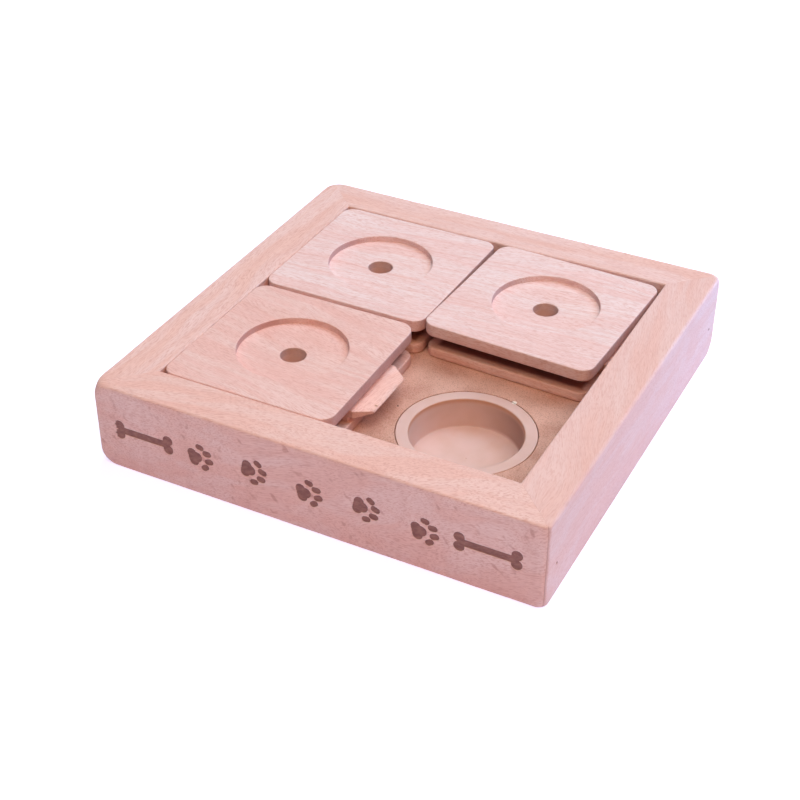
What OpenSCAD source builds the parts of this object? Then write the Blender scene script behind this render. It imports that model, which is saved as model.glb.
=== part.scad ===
// Sliding-tile food puzzle for a dog: a square mitred beech tray with four food cups under
// three sliding tiles. The fourth cell is free, so a tile can be pushed off the cup below it.
// Millimetres. The origin is the middle of the tray's underside. X runs along the ornamented
// front rail, Y runs to the back rail and Z points up.

/* [Tray] */
// Outer side of the square tray
tray_side = 190.4; // [180:0.2:230]
// Height of the tray
tray_h = 37.4; // [35:0.1:50]
// Width of the four rails
rail_w = 18.9; // [16:0.1:24]
// Radius of the tray's upright corners
tray_corner_r = 2.2; // [1.8:0.1:8]
// Rounding of the rails' outer top edge
tray_top_r = 1.5; // [0.6:0.1:1.7]
// Rounding of the rails' outer bottom edge
tray_bottom_r = 0.6; // [0.4:0.1:1.6]
// How far the eight outer corners are sanded away, along each edge of the diagonal section
corner_ease = 5; // [2:0.1:8]
// Rounding of the rails' inner top edge
rail_inner_r = 0.5; // [0.3:0.1:1.2]

/* [Floor panel] */
// Thickness of the floor panel
panel_t = 6; // [4:0.5:8]
// How far the panel reaches into the groove in each rail
panel_tenon = 5; // [3:0.5:7]
// Room that the groove leaves past the panel's edge, for the wood to move
panel_room = 0.5; // [0.2:0.1:1]

/* [Cups] */
// Diameter of a cup's rim, which lies flush with the floor
rim_d = 55; // [50:0.5:60]
// Thickness of the rim
rim_t = 2; // [1.2:0.1:3]
// Diameter of a cup's mouth
mouth_d = 45; // [38:0.5:47]
// How much a cup narrows to its floor, on each side
cup_taper = 1; // [0:0.1:4]
// Depth inside a cup
cup_depth = 12.8; // [8:0.1:13.5]
// Wall and floor thickness of a cup
cup_wall = 1.5; // [1:0.1:2]
// Rounding of a cup's lip and of its inside bottom corner
cup_fillet_r = 0.6; // [0.5:0.1:2]
// Play round a cup in the floor panel
cup_play = 0.3; // [0.15:0.05:0.5]

/* [Tiles] */
// Play of a tile in its cell, both sides together
tile_play = 1.5; // [1:0.1:2.5]
// Thickness of a tile's top plate
top_t = 5.7; // [5:0.1:8]
// Height of the gap between a tile's two plates
gap_h = 6.5; // [5.5:0.1:7.5]
// Thickness of a tile's base plate
base_t = 4.3; // [3:0.1:5]
// How far the base plate stands back from the top plate's edge
base_inset = 1.1; // [0.5:0.1:2]
// Corner radius of the plates, seen from above
tile_corner_r = 5.6; // [4:0.1:9]
// Rounding of the plates' edges
tile_edge_r = 0.6; // [0.3:0.1:1]
// Diameter of the round recess for a paw or a nose
recess_d = 45; // [36:0.5:50]
// Depth of the recess
recess_depth = 2.7; // [2:0.1:4]
// Diameter of the scent hole through a tile
hole_d = 10.5; // [8:0.5:14]
// Running clearance under a tile
slide_gap = 0.1; // [0.05:0.05:0.3]
// Clearance between a tile and the rail that it leans on
lean_gap = 0.2; // [0.2:0.05:0.4]
// Share of its play that the back right tile's turn takes up
turn_share = 0.7; // [0:0.05:0.9]

/* [Tongues] */
// Width of a tongue where it leaves the tile
tongue_w = 35.6; // [26:0.1:40]
// How far a tongue stands out of the tile
tongue_reach = 6.8; // [5:0.1:7.2]
// Thickness of a tongue
tongue_t = 3.6; // [3:0.1:4.2]
// Clearance between a tongue's upper face and the top of the gap
tongue_drop = 0.5; // [0.3:0.1:0.8]
// How much a tongue's upper face falls towards its tip
tongue_fall = 0.9; // [0.3:0.1:1.2]
// Slant of a tongue's two ends, in degrees
tongue_slant = 38; // [20:1:50]
// How far the right tongue lies forward of the tile's middle
tongue_shift = 1.5; // [0:0.1:2]
// Clearance past a tongue's tip
tip_gap = 1; // [0.6:0.1:2]
// How much higher the rails' tongue groove is than the gap, above it and below it
groove_room = 0.2; // [0.1:0.05:0.4]
// Thickness of the keeper strips' free edge
keeper_t = 3.6; // [2.5:0.1:4.2]

/* [Corner pins] */
// Diameter of the headless pins through the mitres
pin_d = 1.2; // [1:0.1:1.6]
// Length of a pin
pin_len = 26; // [18:1:32]
// Height of the pins above the ground
pin_z = 15; // [8:1:22]
// How deep a pin's end is punched under the surface
pin_punch = 0.8; // [0.3:0.1:1.5]

/* [Ornament] */
// Height of the ornament on the front rail
ornament_h = 14; // [10:0.5:15]
// Depth of the engraving
engrave_depth = 0.4; // [0.2:0.1:0.8]
// Number of paw prints
paws = 5; // [3:1:5]

/* [Hidden] */

$fn = 96;
cut = 1; // extra length of a cutting tool past a face

// Plan sizes
inner = tray_side - 2 * rail_w;
cell = inner / 2;
tile_side = cell - tile_play;
base_side = tile_side - 2 * base_inset;
cup_place = tile_side / 2;

// Heights
tile_h = base_t + gap_h + top_t;
floor_z = tray_h - tile_h - slide_gap;
panel_z = floor_z - panel_t;
gap_z = base_t;
tile_z = floor_z + slide_gap;

// The groove for the tongues lies level with the gap in a tile
groove_z = tile_z + gap_z - groove_room;
groove_h = gap_h + 2 * groove_room;
groove_depth = tongue_reach + tip_gap;
keeper_reach = tongue_reach;
tongue_top = gap_z + gap_h - tongue_drop;
tongue_nose_r = (tongue_t - tongue_fall) / 2;
lath_inset = tongue_reach + tip_gap;
lath_setback = 1; // how far the laths end behind the base plate's edge
tongue_x = base_side / 2 - lath_setback - 2; // where a tongue begins, inside its lath

// Where the tiles stand. Each leans on its rails, as a tile does after a push.
lean = tile_play / 2 - lean_gap;
corner_reach = tile_side / 2 - tile_corner_r;
skew = asin(turn_share * (tile_play - 1.5 * lean_gap) / corner_reach);
turned_half = corner_reach * (cos(skew) + sin(skew)) + tile_corner_r;
left_edge = lean_gap - cell + tile_side;
turned_x = left_edge + lean_gap + turned_half;
turned_y = cell - lean_gap - turned_half;
FRONT_LEFT = [-cell / 2 - lean, -cell / 2 - lean, 0];
BACK_LEFT = [-cell / 2 - lean, cell / 2, 0];
BACK_RIGHT = [turned_x, turned_y, -skew];

BEECH = "#e8c1b0";
BEECH_DARK = "#d2a28c";
MDF = "#b98f74";
CUP = "#dcc3ad";
STEEL = "#8c8078";

// ---- shapes ------------------------------------------------------------------------------

// Upright section of a slab, centred on X, with round upper and lower edges
module slab_section(width, height, top_r, bottom_r) {
    translate([-width / 2, bottom_r]) square([width, height - top_r - bottom_r]);
    translate([-width / 2 + top_r, height / 2]) square([width - 2 * top_r, height / 2]);
    translate([-width / 2 + bottom_r, 0]) square([width - 2 * bottom_r, height / 2]);
    for (side = [-1, 1]) {
        translate([side * (width / 2 - top_r), height - top_r]) circle(top_r);
        translate([side * (width / 2 - bottom_r), bottom_r]) circle(bottom_r);
    }
}

// Square slab with round upright corners and round edges, standing on Z = 0
module soft_slab(side, height, corner_r, top_r, bottom_r) {
    straight = side - 2 * corner_r;
    for (turn = [0, 90])
        rotate(turn) translate([0, straight / 2, 0]) rotate([90, 0, 0])
            linear_extrude(straight) slab_section(side, height, top_r, bottom_r);
    for (x = [-1, 1], y = [-1, 1])
        translate([x * straight / 2, y * straight / 2, 0]) rotate_extrude()
            intersection() {
                slab_section(2 * corner_r, height, top_r, bottom_r);
                square([corner_r, height]);
            }
}

// Straight-sided square slab with its lower face at z
module square_slab(side, z, height) {
    translate([-side / 2, -side / 2, z]) cube([side, side, height]);
}

// Places a tile's piece, modelled round the tile's middle, in the tray
module in_tray(place) {
    translate([place[0], place[1], tile_z]) rotate(place[2]) children();
}

// ---- tray --------------------------------------------------------------------------------

// What sanding takes off a lower outer corner, seen level across a diagonal of the tray
module corner_sanding() {
    deep = 1.3 * corner_ease;
    difference() {
        translate([-corner_ease - cut, -cut]) square(corner_ease + 2 * cut);
        translate([-deep, deep]) circle(norm([deep, deep - corner_ease]));
    }
}

// What sanding takes off all eight outer corners
module eased_corners() {
    reach = (tray_side / 2 - tray_corner_r) * sqrt(2) + tray_corner_r;
    for (turn = [45 : 90 : 315])
        rotate(turn) rotate([90, 0, 0]) linear_extrude(6 * corner_ease, center = true) {
            translate([reach, 0]) corner_sanding();
            translate([reach, tray_h]) mirror([0, 1]) corner_sanding();
        }
}

// The wedge of the tray that the front rail fills, bounded by the two mitres
module mitre_wedge() {
    far = tray_side / 2 + cut;
    near = inner / 2 - cut;
    linear_extrude(tray_h) polygon([[-far, -far], [far, -far], [near, -near], [-near, -near]]);
}

// The square well inside the rails, with its upper edge eased by a flat bevel
module well() {
    square_slab(inner, -cut, tray_h + 2 * cut);
    wide = inner / 2 + rail_inner_r + cut;
    intersection_for(turn = [0, 90])
        rotate(turn) rotate([90, 0, 0]) linear_extrude(tray_side, center = true)
            polygon([
                [-inner / 2, tray_h - rail_inner_r], [inner / 2, tray_h - rail_inner_r],
                [wide, tray_h + cut], [-wide, tray_h + cut]
            ]);
}

// One rail, turned to its side of the tray. All four have the same two grooves.
module rail(turn) {
    difference() {
        intersection() {
            soft_slab(tray_side, tray_h, tray_corner_r, tray_top_r, tray_bottom_r);
            rotate(turn) mitre_wedge();
        }
        well();
        eased_corners();
        square_slab(inner + 2 * (panel_tenon + panel_room), panel_z, panel_t);
        square_slab(inner + 2 * groove_depth, groove_z, groove_h);
        pin_holes();
        if (turn == 0) ornament();
    }
}

// A lath glued into a rail's groove, whose tapered edge reaches into the gap of a tile
module keeper_strip(length) {
    back = -inner / 2 - groove_depth;
    face = -inner / 2;
    tip = face + keeper_reach;
    mid = groove_z + groove_h / 2;
    bevel = (groove_h - 2 * groove_room - keeper_t) / 2;
    rotate([90, 0, 0]) linear_extrude(length, center = true)
        polygon([
            [back, groove_z], [face, groove_z], [face, groove_z + groove_room + bevel / 2],
            [tip, mid - keeper_t / 2], [tip, mid + keeper_t / 2],
            [face, groove_z + groove_h - groove_room - bevel / 2], [face, groove_z + groove_h],
            [back, groove_z + groove_h]
        ]);
}

// The left strip stops where the front strip's edge begins
module keeper_strip_left() {
    color(BEECH_DARK) translate([0, keeper_reach / 2, 0]) keeper_strip(inner - keeper_reach);
}

module keeper_strip_front() {
    color(BEECH_DARK) rotate(90) keeper_strip(inner);
}

// Places a pin's axis at each of the four mitres, driven in from the left and right sides
module at_corners() {
    for (x = [-1, 1], y = [-1, 1])
        translate([x * tray_side / 2, y * (tray_side - rail_w) / 2, pin_z])
            rotate([0, -90 * x, 0]) children();
}

module pin_holes() {
    at_corners() translate([0, 0, -cut]) cylinder(h = pin_punch + pin_len + cut, d = pin_d);
}

module corner_pins() {
    color(STEEL) at_corners() translate([0, 0, pin_punch]) cylinder(h = pin_len, d = pin_d);
}

// ---- ornament ----------------------------------------------------------------------------

// Round-ended bar of the given length along X
module pill(length, r) {
    square([length - 2 * r, 2 * r], center = true);
    for (side = [-1, 1]) translate([side * (length / 2 - r), 0]) circle(r);
}

// Paw print: three lobes make the pad, and four toes stand over it
module paw(height) {
    unit = height / 20;
    translate([0, -4 * unit]) {
        translate([0, 2.2 * unit]) circle(3.9 * unit);
        for (side = [-1, 1]) translate([side * 3.1 * unit, -0.6 * unit]) circle(3.3 * unit);
        translate([0, -2 * unit]) square([6.2 * unit, 3.8 * unit], center = true);
    }
    for (side = [-1, 1]) {
        translate([side * 7.6 * unit, 2.6 * unit]) rotate(side * 24 + 90) pill(6 * unit, 2.1 * unit);
        translate([side * 3 * unit, 6.8 * unit]) rotate(side * 8 + 90) pill(6.4 * unit, 2.2 * unit);
    }
}

// Bone, lying along X
module bone(length, height) {
    knob = height / 4;
    square([length - 2 * knob, height * 0.36], center = true);
    for (x = [-1, 1], y = [-1, 1])
        translate([x * (length / 2 - knob), y * knob * 0.95]) circle(knob);
}

// A trail of paw prints between two bones, cut into the front rail's face
module ornament() {
    bone_len = ornament_h * 1.9;
    span = tray_side - 2 * tray_corner_r - 2 * ornament_h / 2;
    step = (span - 2 * bone_len) / paws;
    rotate([90, 0, 0]) translate([0, tray_h / 2, tray_side / 2 - engrave_depth])
        linear_extrude(engrave_depth + cut) {
            for (side = [-1, 1])
                translate([side * (span - bone_len) / 2, 0]) bone(bone_len, ornament_h * 0.62);
            for (i = [0 : paws - 1])
                translate([(i - (paws - 1) / 2) * step, (i % 2 - 0.5) * ornament_h * 0.12])
                    rotate(-78 + (i % 2) * -24) paw(ornament_h * 0.86);
        }
}

// ---- floor and cups ----------------------------------------------------------------------

// Places a cup, or its seat, in the cell at the given side of the middle
module in_cell(cell_x, cell_y) {
    translate([cell_x * cup_place, cell_y * cup_place, 0]) children();
}

// Room for one cup: a seat for its rim and a hole for its bowl
module cup_seat() {
    translate([0, 0, floor_z - rim_t]) cylinder(h = rim_t + cut, d = rim_d + 2 * cup_play);
    translate([0, 0, panel_z - cut])
        cylinder(h = panel_t + 2 * cut, d = mouth_d + 2 * (cup_wall + cup_play));
}

module floor_panel() {
    color(MDF) difference() {
        square_slab(inner + 2 * panel_tenon, panel_z, panel_t);
        for (x = [-1, 1], y = [-1, 1]) in_cell(x, y) cup_seat();
    }
}

// Half section of the space inside a cup, with a round bottom corner
module bowl_section() {
    bottom = floor_z - cup_depth;
    rise = cup_depth - cup_fillet_r;
    slope = sqrt(rise * rise + cup_taper * cup_taper);
    wall_x = mouth_d / 2 - cup_taper + cup_taper * cup_fillet_r / rise;
    centre_x = wall_x - cup_fillet_r * slope / rise;
    centre_z = bottom + cup_fillet_r;
    polygon([
        [0, bottom], [centre_x, bottom], [centre_x, centre_z],
        [centre_x + cup_fillet_r * rise / slope, centre_z - cup_fillet_r * cup_taper / slope],
        [mouth_d / 2, floor_z - cup_fillet_r], [mouth_d / 2, floor_z + cut], [0, floor_z + cut]
    ]);
    translate([centre_x, centre_z]) circle(cup_fillet_r);
}

// Half section of what the rounded lip takes off the rim's inner edge
module lip_section() {
    translate([mouth_d / 2, floor_z - cup_fillet_r]) difference() {
        translate([-cut, 0]) square([cup_fillet_r + cut, cup_fillet_r + cut]);
        translate([cup_fillet_r, 0]) circle(cup_fillet_r);
    }
}

module cup() {
    bottom = floor_z - cup_depth - cup_wall;
    rotate_extrude() difference() {
        union() {
            translate([0, floor_z - rim_t]) square([rim_d / 2, rim_t]);
            polygon([
                [0, bottom], [mouth_d / 2 - cup_taper + cup_wall, bottom],
                [mouth_d / 2 + cup_wall, floor_z - rim_t], [0, floor_z - rim_t]
            ]);
        }
        bowl_section();
        lip_section();
    }
}

module cup_in(cell_x, cell_y) {
    color(CUP) in_cell(cell_x, cell_y) cup();
}

// ---- tiles -------------------------------------------------------------------------------

module scent_hole() {
    translate([0, 0, -cut]) cylinder(h = tile_h + 2 * cut, d = hole_d);
}

// Top plate with the round recess
module tile_top() {
    difference() {
        translate([0, 0, gap_z + gap_h])
            soft_slab(tile_side, top_t, tile_corner_r, tile_edge_r, tile_edge_r / 2);
        translate([0, 0, tile_h - recess_depth]) cylinder(h = recess_depth + cut, d = recess_d);
        scent_hole();
    }
}

// Base plate, which stands back a little from the top plate's edge
module tile_base() {
    difference() {
        soft_slab(base_side, base_t, tile_corner_r - base_inset, tile_edge_r, tile_edge_r / 2);
        scent_hole();
    }
}

// Plan of a tongue that leaves the tile's edge along X, with slanted ends
module tongue_plan() {
    root = tile_side / 2;
    step_in = tongue_reach * tan(tongue_slant);
    polygon([
        [tongue_x, -tongue_w / 2], [root, -tongue_w / 2],
        [root + tongue_reach, -tongue_w / 2 + step_in], [root + tongue_reach, tongue_w / 2 - step_in],
        [root, tongue_w / 2], [tongue_x, tongue_w / 2]
    ]);
}

// Upright section of a tongue along X: a lip that falls towards a round nose
module tongue_section() {
    root = tile_side / 2;
    nose_x = root + tongue_reach - tongue_nose_r;
    under = tongue_top - tongue_t;
    polygon([
        [tongue_x, under], [nose_x, under], [nose_x, tongue_top - tongue_fall],
        [root, tongue_top], [tongue_x, tongue_top]
    ]);
    translate([nose_x, under + tongue_nose_r]) circle(tongue_nose_r);
}

// The free part of a tongue, which points along X
module tongue() {
    intersection() {
        linear_extrude(tile_h) tongue_plan();
        translate([0, tongue_w / 2 + cut, 0]) rotate([90, 0, 0])
            linear_extrude(tongue_w + 2 * cut) tongue_section();
    }
}

// Long lath between the plates. It holds them apart and ends in the right tongue.
module tongue_lath() {
    left = -tile_side / 2 + lath_inset;
    right = base_side / 2 - lath_setback;
    difference() {
        translate([0, -tongue_shift, 0]) {
            translate([left, -tongue_w / 2, gap_z]) cube([right - left, tongue_w, gap_h]);
            tongue();
        }
        scent_hole();
    }
}

// Short block behind the lath, which ends in the back tongue
module tongue_block() {
    front = tongue_w / 2 - tongue_shift;
    back = base_side / 2 - lath_setback;
    translate([-tongue_w / 2, front, gap_z]) cube([tongue_w, back - front, gap_h]);
    rotate(90) tongue();
}

// ---- nodes -------------------------------------------------------------------------------

color(BEECH_DARK) rail(0);  // rail_front
color(BEECH) rail(180);  // rail_back
color(BEECH) rail(-90);  // rail_left
color(BEECH) rail(90);  // rail_right
keeper_strip_left();
keeper_strip_front();
corner_pins();
floor_panel();
cup_in(-1, -1);  // cup_front_left
cup_in(1, -1);  // cup_front_right
cup_in(-1, 1);  // cup_back_left
cup_in(1, 1);  // cup_back_right

TILES = [["front_left", FRONT_LEFT], ["back_left", BACK_LEFT], ["back_right", BACK_RIGHT]];
for (tile = TILES) {
    color(BEECH) in_tray(tile[1]) tile_top();
    color(BEECH) in_tray(tile[1]) tongue_lath();
    color(BEECH) in_tray(tile[1]) tongue_block();
    color(BEECH_DARK) in_tray(tile[1]) tile_base();
}
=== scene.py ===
"""Looks of a square sliding-tile food puzzle for a dog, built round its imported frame.

A mitred beech tray holds a pressed-board floor with four cups and three sliding tiles. Every
wooden piece, cup and board is built here as a mesh in millimetres, in the frame's own place.
"""

from __future__ import annotations

import logging
import math
from collections.abc import Sequence
from dataclasses import dataclass, field
from enum import Enum

import bmesh
import bpy
from mathutils import Matrix, Vector, noise


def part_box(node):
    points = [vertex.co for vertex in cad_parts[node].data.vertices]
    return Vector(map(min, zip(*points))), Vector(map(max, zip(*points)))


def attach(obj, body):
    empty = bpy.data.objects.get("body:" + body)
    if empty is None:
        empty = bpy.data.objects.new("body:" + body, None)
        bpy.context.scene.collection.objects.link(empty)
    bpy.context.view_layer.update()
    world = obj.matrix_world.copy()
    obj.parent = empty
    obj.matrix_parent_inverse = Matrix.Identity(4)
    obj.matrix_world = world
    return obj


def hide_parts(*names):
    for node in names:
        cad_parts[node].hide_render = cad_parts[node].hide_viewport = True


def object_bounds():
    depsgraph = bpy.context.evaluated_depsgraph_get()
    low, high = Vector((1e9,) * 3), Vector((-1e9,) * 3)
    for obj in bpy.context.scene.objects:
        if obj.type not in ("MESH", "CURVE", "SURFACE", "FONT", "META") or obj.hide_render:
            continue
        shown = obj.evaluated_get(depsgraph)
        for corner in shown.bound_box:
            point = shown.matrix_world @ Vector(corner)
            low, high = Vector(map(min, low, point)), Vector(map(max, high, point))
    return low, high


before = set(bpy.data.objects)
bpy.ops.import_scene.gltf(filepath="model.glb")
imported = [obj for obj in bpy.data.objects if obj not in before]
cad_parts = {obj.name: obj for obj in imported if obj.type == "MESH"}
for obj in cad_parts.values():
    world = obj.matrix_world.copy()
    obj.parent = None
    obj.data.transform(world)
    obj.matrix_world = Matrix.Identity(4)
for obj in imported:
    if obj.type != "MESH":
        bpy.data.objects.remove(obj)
CAD_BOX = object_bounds()

log = logging.getLogger("puzzle")
MM = 0.001
CREASE_DEG = 32.0  # Past this angle between two faces, their edge looks sharp.
SUPPORT = 0.35  # How far beside an eased edge the next row of points lies.
Trio = tuple[float, float, float]
Colour = tuple[float, float, float]
Ring = list[Vector]
Spot = tuple[float, float]


class Grain(Enum):
    """The way that a board's fibres run, as the turn of the board about Z in degrees."""

    ALONG_X = 0.0
    ALONG_Y = 90.0


class Side(Enum):
    """A side of the tray, as the turn about Z that brings the front side to it, in degrees."""

    FRONT = 0.0
    RIGHT = 90.0
    BACK = 180.0
    LEFT = 270.0

    def beside(self, turns: int) -> Side:
        """The side that a number of quarter turns brings this one to."""
        return Side((self.value + 90 * turns) % 360)


# ---- shader maths ------------------------------------------------------------------------


class Wire:
    """A value that a shader works out. Where it is a number, it takes Python's arithmetic."""

    def __init__(self, graph: Graph, socket: bpy.types.NodeSocket) -> None:
        """Wraps an output socket of a node in the graph."""
        self.graph = graph
        self.socket = socket

    def __add__(self, other: Wire | float) -> Wire:
        """This number plus another."""
        return self.graph.math("ADD", self, other)

    def __radd__(self, other: float) -> Wire:
        """A plain number plus this one."""
        return self.graph.math("ADD", other, self)

    def __sub__(self, other: Wire | float) -> Wire:
        """This number less another."""
        return self.graph.math("SUBTRACT", self, other)

    def __rsub__(self, other: float) -> Wire:
        """A plain number less this one."""
        return self.graph.math("SUBTRACT", other, self)

    def __mul__(self, other: Wire | float) -> Wire:
        """This number times another."""
        return self.graph.math("MULTIPLY", self, other)

    def __rmul__(self, other: float) -> Wire:
        """A plain number times this one."""
        return self.graph.math("MULTIPLY", other, self)

    def __truediv__(self, other: Wire | float) -> Wire:
        """This number over another."""
        return self.graph.math("DIVIDE", self, other)

    def __rtruediv__(self, other: float) -> Wire:
        """A plain number over this one."""
        return self.graph.math("DIVIDE", other, self)

    def __pow__(self, other: Wire | float) -> Wire:
        """This number to a power."""
        return self.graph.math("POWER", self, other)

    def __rpow__(self, other: float) -> Wire:
        """A plain number to this power."""
        return self.graph.math("POWER", other, self)

    def smooth(self, low: float, high: float) -> Wire:
        """Rises smoothly from 0 at low to 1 at high.

        Args:
            low: The value at which the result is 0.
            high: The value at which the result is 1. It may lie under low.

        Returns:
            The eased step.
        """
        settings = {"interpolation_type": "SMOOTHSTEP"}
        inputs = {"Value": self, "From Min": low, "From Max": high}
        return self.graph.node("ShaderNodeMapRange", settings, inputs)


class Graph:
    """The node tree of a material or of the world."""

    def __init__(self, owner: bpy.types.Material | bpy.types.World) -> None:
        """Starts an empty node tree.

        Args:
            owner: The material or the world that it belongs to.
        """
        owner.use_nodes = True
        owner.node_tree.nodes.clear()
        self.owner = owner
        self.tree = owner.node_tree

    @staticmethod
    def _pick(sockets: Sequence[bpy.types.NodeSocket], key: str | int) -> bpy.types.NodeSocket:
        """Finds a socket.

        Args:
            sockets: A node's inputs or its outputs.
            key: The socket's number, its identifier or its name.

        Returns:
            The socket.
        """
        if isinstance(key, int):
            return sockets[key]
        for socket in sockets:
            if socket.identifier == key:
                return socket
        return sockets[key]

    def add(self, kind: str, settings: dict, inputs: dict) -> bpy.types.Node:
        """Adds a node of any type.

        Args:
            kind: The node's type.
            settings: What is set on the node itself, before its sockets.
            inputs: Values or links for its sockets, by name, identifier or number.

        Returns:
            The node.
        """
        made = self.tree.nodes.new(kind)
        for name, value in settings.items():
            setattr(made, name, value)
        for key, value in inputs.items():
            socket = self._pick(made.inputs, key)
            if isinstance(value, Wire):
                self.tree.links.new(value.socket, socket)
            else:
                socket.default_value = value
        return made

    def node(
        self,
        kind: str,
        settings: dict | None = None,
        inputs: dict | None = None,
        output: str | int = 0,
    ) -> Wire:
        """Adds a node and gives one of its outputs.

        Args:
            kind: The node's type.
            settings: What is set on the node itself.
            inputs: Values or links for its sockets, by name, identifier or number.
            output: The output that is wanted.

        Returns:
            That output.
        """
        made = self.add(kind, settings or {}, inputs or {})
        return Wire(self, self._pick(made.outputs, output))

    def math(self, operation: str, *values: Wire | float) -> Wire:
        """Adds one Math node on up to three values and gives its result."""
        inputs = dict(enumerate(values))
        return self.node("ShaderNodeMath", {"operation": operation}, inputs)

    def vector(self, operation: str, *values: Wire | Sequence[float], output: int = 0) -> Wire:
        """Adds one Vector Math node and gives its vector, or its number as output 1."""
        inputs = dict(enumerate(values))
        return self.node("ShaderNodeVectorMath", {"operation": operation}, inputs, output)

    def mix(self, share: Wire | float, low: Wire | Colour, high: Wire | Colour) -> Wire:
        """Mixes two colours.

        Args:
            share: The share of the second colour.
            low: The colour at share 0.
            high: The colour at share 1.

        Returns:
            The mixed colour.
        """
        ends = {
            key: colour if isinstance(colour, Wire) else (*colour, 1.0)
            for key, colour in (("A_Color", low), ("B_Color", high))
        }
        settings = {"data_type": "RGBA", "clamp_factor": True}
        inputs = {"Factor_Float": share, **ends}
        return self.node("ShaderNodeMix", settings, inputs, "Result_Color")

    def place(self) -> Wire:
        """The place in the tray's frame, in millimetres."""
        inputs = {"Vector": self.node("ShaderNodeTexCoord", output="Object"), "Scale": 1 / MM}
        return self.node("ShaderNodeVectorMath", {"operation": "SCALE"}, inputs)

    def facing(self) -> Wire:
        """The direction that the surface faces, in the tray's frame."""
        return self.node("ShaderNodeTexCoord", output="Normal")

    def axis(self, vector: Wire, name: str) -> Wire:
        """A vector's X, Y or Z."""
        return self.node("ShaderNodeSeparateXYZ", {}, {0: vector}, name)

    def turned(self, vector: Wire, axis: str, angle_deg: float) -> Wire:
        """Turns a vector about one axis.

        Args:
            vector: The vector.
            axis: X, Y or Z.
            angle_deg: The angle of the turn.

        Returns:
            The turned vector.
        """
        settings = {"rotation_type": axis + "_AXIS"}
        inputs = {"Vector": vector, "Angle": math.radians(angle_deg)}
        return self.node("ShaderNodeVectorRotate", settings, inputs)

    def board(self, turn_deg: float, rise_deg: float, start: Trio) -> Wire:
        """Coordinates in millimetres in a board's own directions: along, across, up.

        Args:
            turn_deg: The turn of the board's fibres from X, about Z.
            rise_deg: How steeply the fibres rise.
            start: What is added, so that no two boards are cut from the same place.

        Returns:
            The coordinates.
        """
        turn = (0.0, math.radians(-rise_deg), math.radians(turn_deg))
        settings = {"rotation_type": "EULER_XYZ", "invert": True}
        inputs = {"Vector": self.place(), "Rotation": turn}
        return self.vector("ADD", self.node("ShaderNodeVectorRotate", settings, inputs), start)

    def noise(
        self,
        place: Wire,
        cells: Trio,
        detail: float = 2.0,
        roughness: float = 0.5,
        output: int = 0,
    ) -> Wire:
        """Noise that is stretched along the axes.

        Args:
            place: Coordinates in millimetres.
            cells: Noise cells per millimetre on each axis.
            detail: Octaves past the first.
            roughness: Strength of each octave against the last.
            output: 0 for a number or 1 for a vector.

        Returns:
            The noise, about 0.5 on average.
        """
        stretched = self.vector("MULTIPLY", place, cells)
        inputs = {"Vector": stretched, "Scale": 1.0, "Detail": detail, "Roughness": roughness}
        return self.node("ShaderNodeTexNoise", {}, inputs, output)

    def bump(self, height: Wire, depth_mm: float) -> Wire:
        """A normal from a height of 0 to 1 that stands for a depth in millimetres."""
        inputs = {"Height": height, "Distance": depth_mm * MM, "Strength": 1.0}
        return self.node("ShaderNodeBump", {}, inputs)

    def surface(
        self, colour: Wire, roughness: Wire, normal: Wire, fixed: dict
    ) -> bpy.types.Material:
        """Ends a material's tree with one Principled shader.

        Args:
            colour: The base colour.
            roughness: The roughness.
            normal: The normal.
            fixed: Plain values for other sockets.

        Returns:
            The material.
        """
        inputs = {"Base Color": colour, "Roughness": roughness, "Normal": normal, **fixed}
        shader = self.node("ShaderNodeBsdfPrincipled", {}, inputs)
        self.add("ShaderNodeOutputMaterial", {}, {"Surface": shader})
        return self.owner


def linear(red: int, green: int, blue: int) -> Colour:
    """A colour in linear light from its 0 to 255 screen values.

    Args:
        red: The red screen value.
        green: The green screen value.
        blue: The blue screen value.

    Returns:
        The colour's three shares of 1.
    """

    def channel(value: int) -> float:
        """One channel, by the usual curve of a screen."""
        share = value / 255
        return share / 12.92 if share <= 0.04045 else ((share + 0.055) / 1.055) ** 2.4

    return channel(red), channel(green), channel(blue)


# ---- finishes ----------------------------------------------------------------------------


@dataclass(frozen=True)
class Knot:
    """A brown pin knot in a board: its place in the tray, in millimetres, and its radius."""

    at: Trio
    radius: float
    halo: Colour = linear(206, 140, 104)
    heart: Colour = linear(122, 70, 48)

    def over(self, g: Graph, colour: Wire) -> Wire:
        """Draws the knot into a board.

        Args:
            g: The board's nodes.
            colour: The board's colour.

        Returns:
            The colour with the knot.
        """
        place = g.place()
        ragged = g.noise(place, (0.9, 0.9, 0.9), 0)
        reach = g.vector("DISTANCE", place, self.at, output=1) / self.radius + ragged * 0.7
        colour = g.mix(reach.smooth(1.9, 0.9) * 0.45, colour, self.halo)
        return g.mix(reach.smooth(1.15, 0.7) * 0.85, colour, self.heart)


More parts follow.
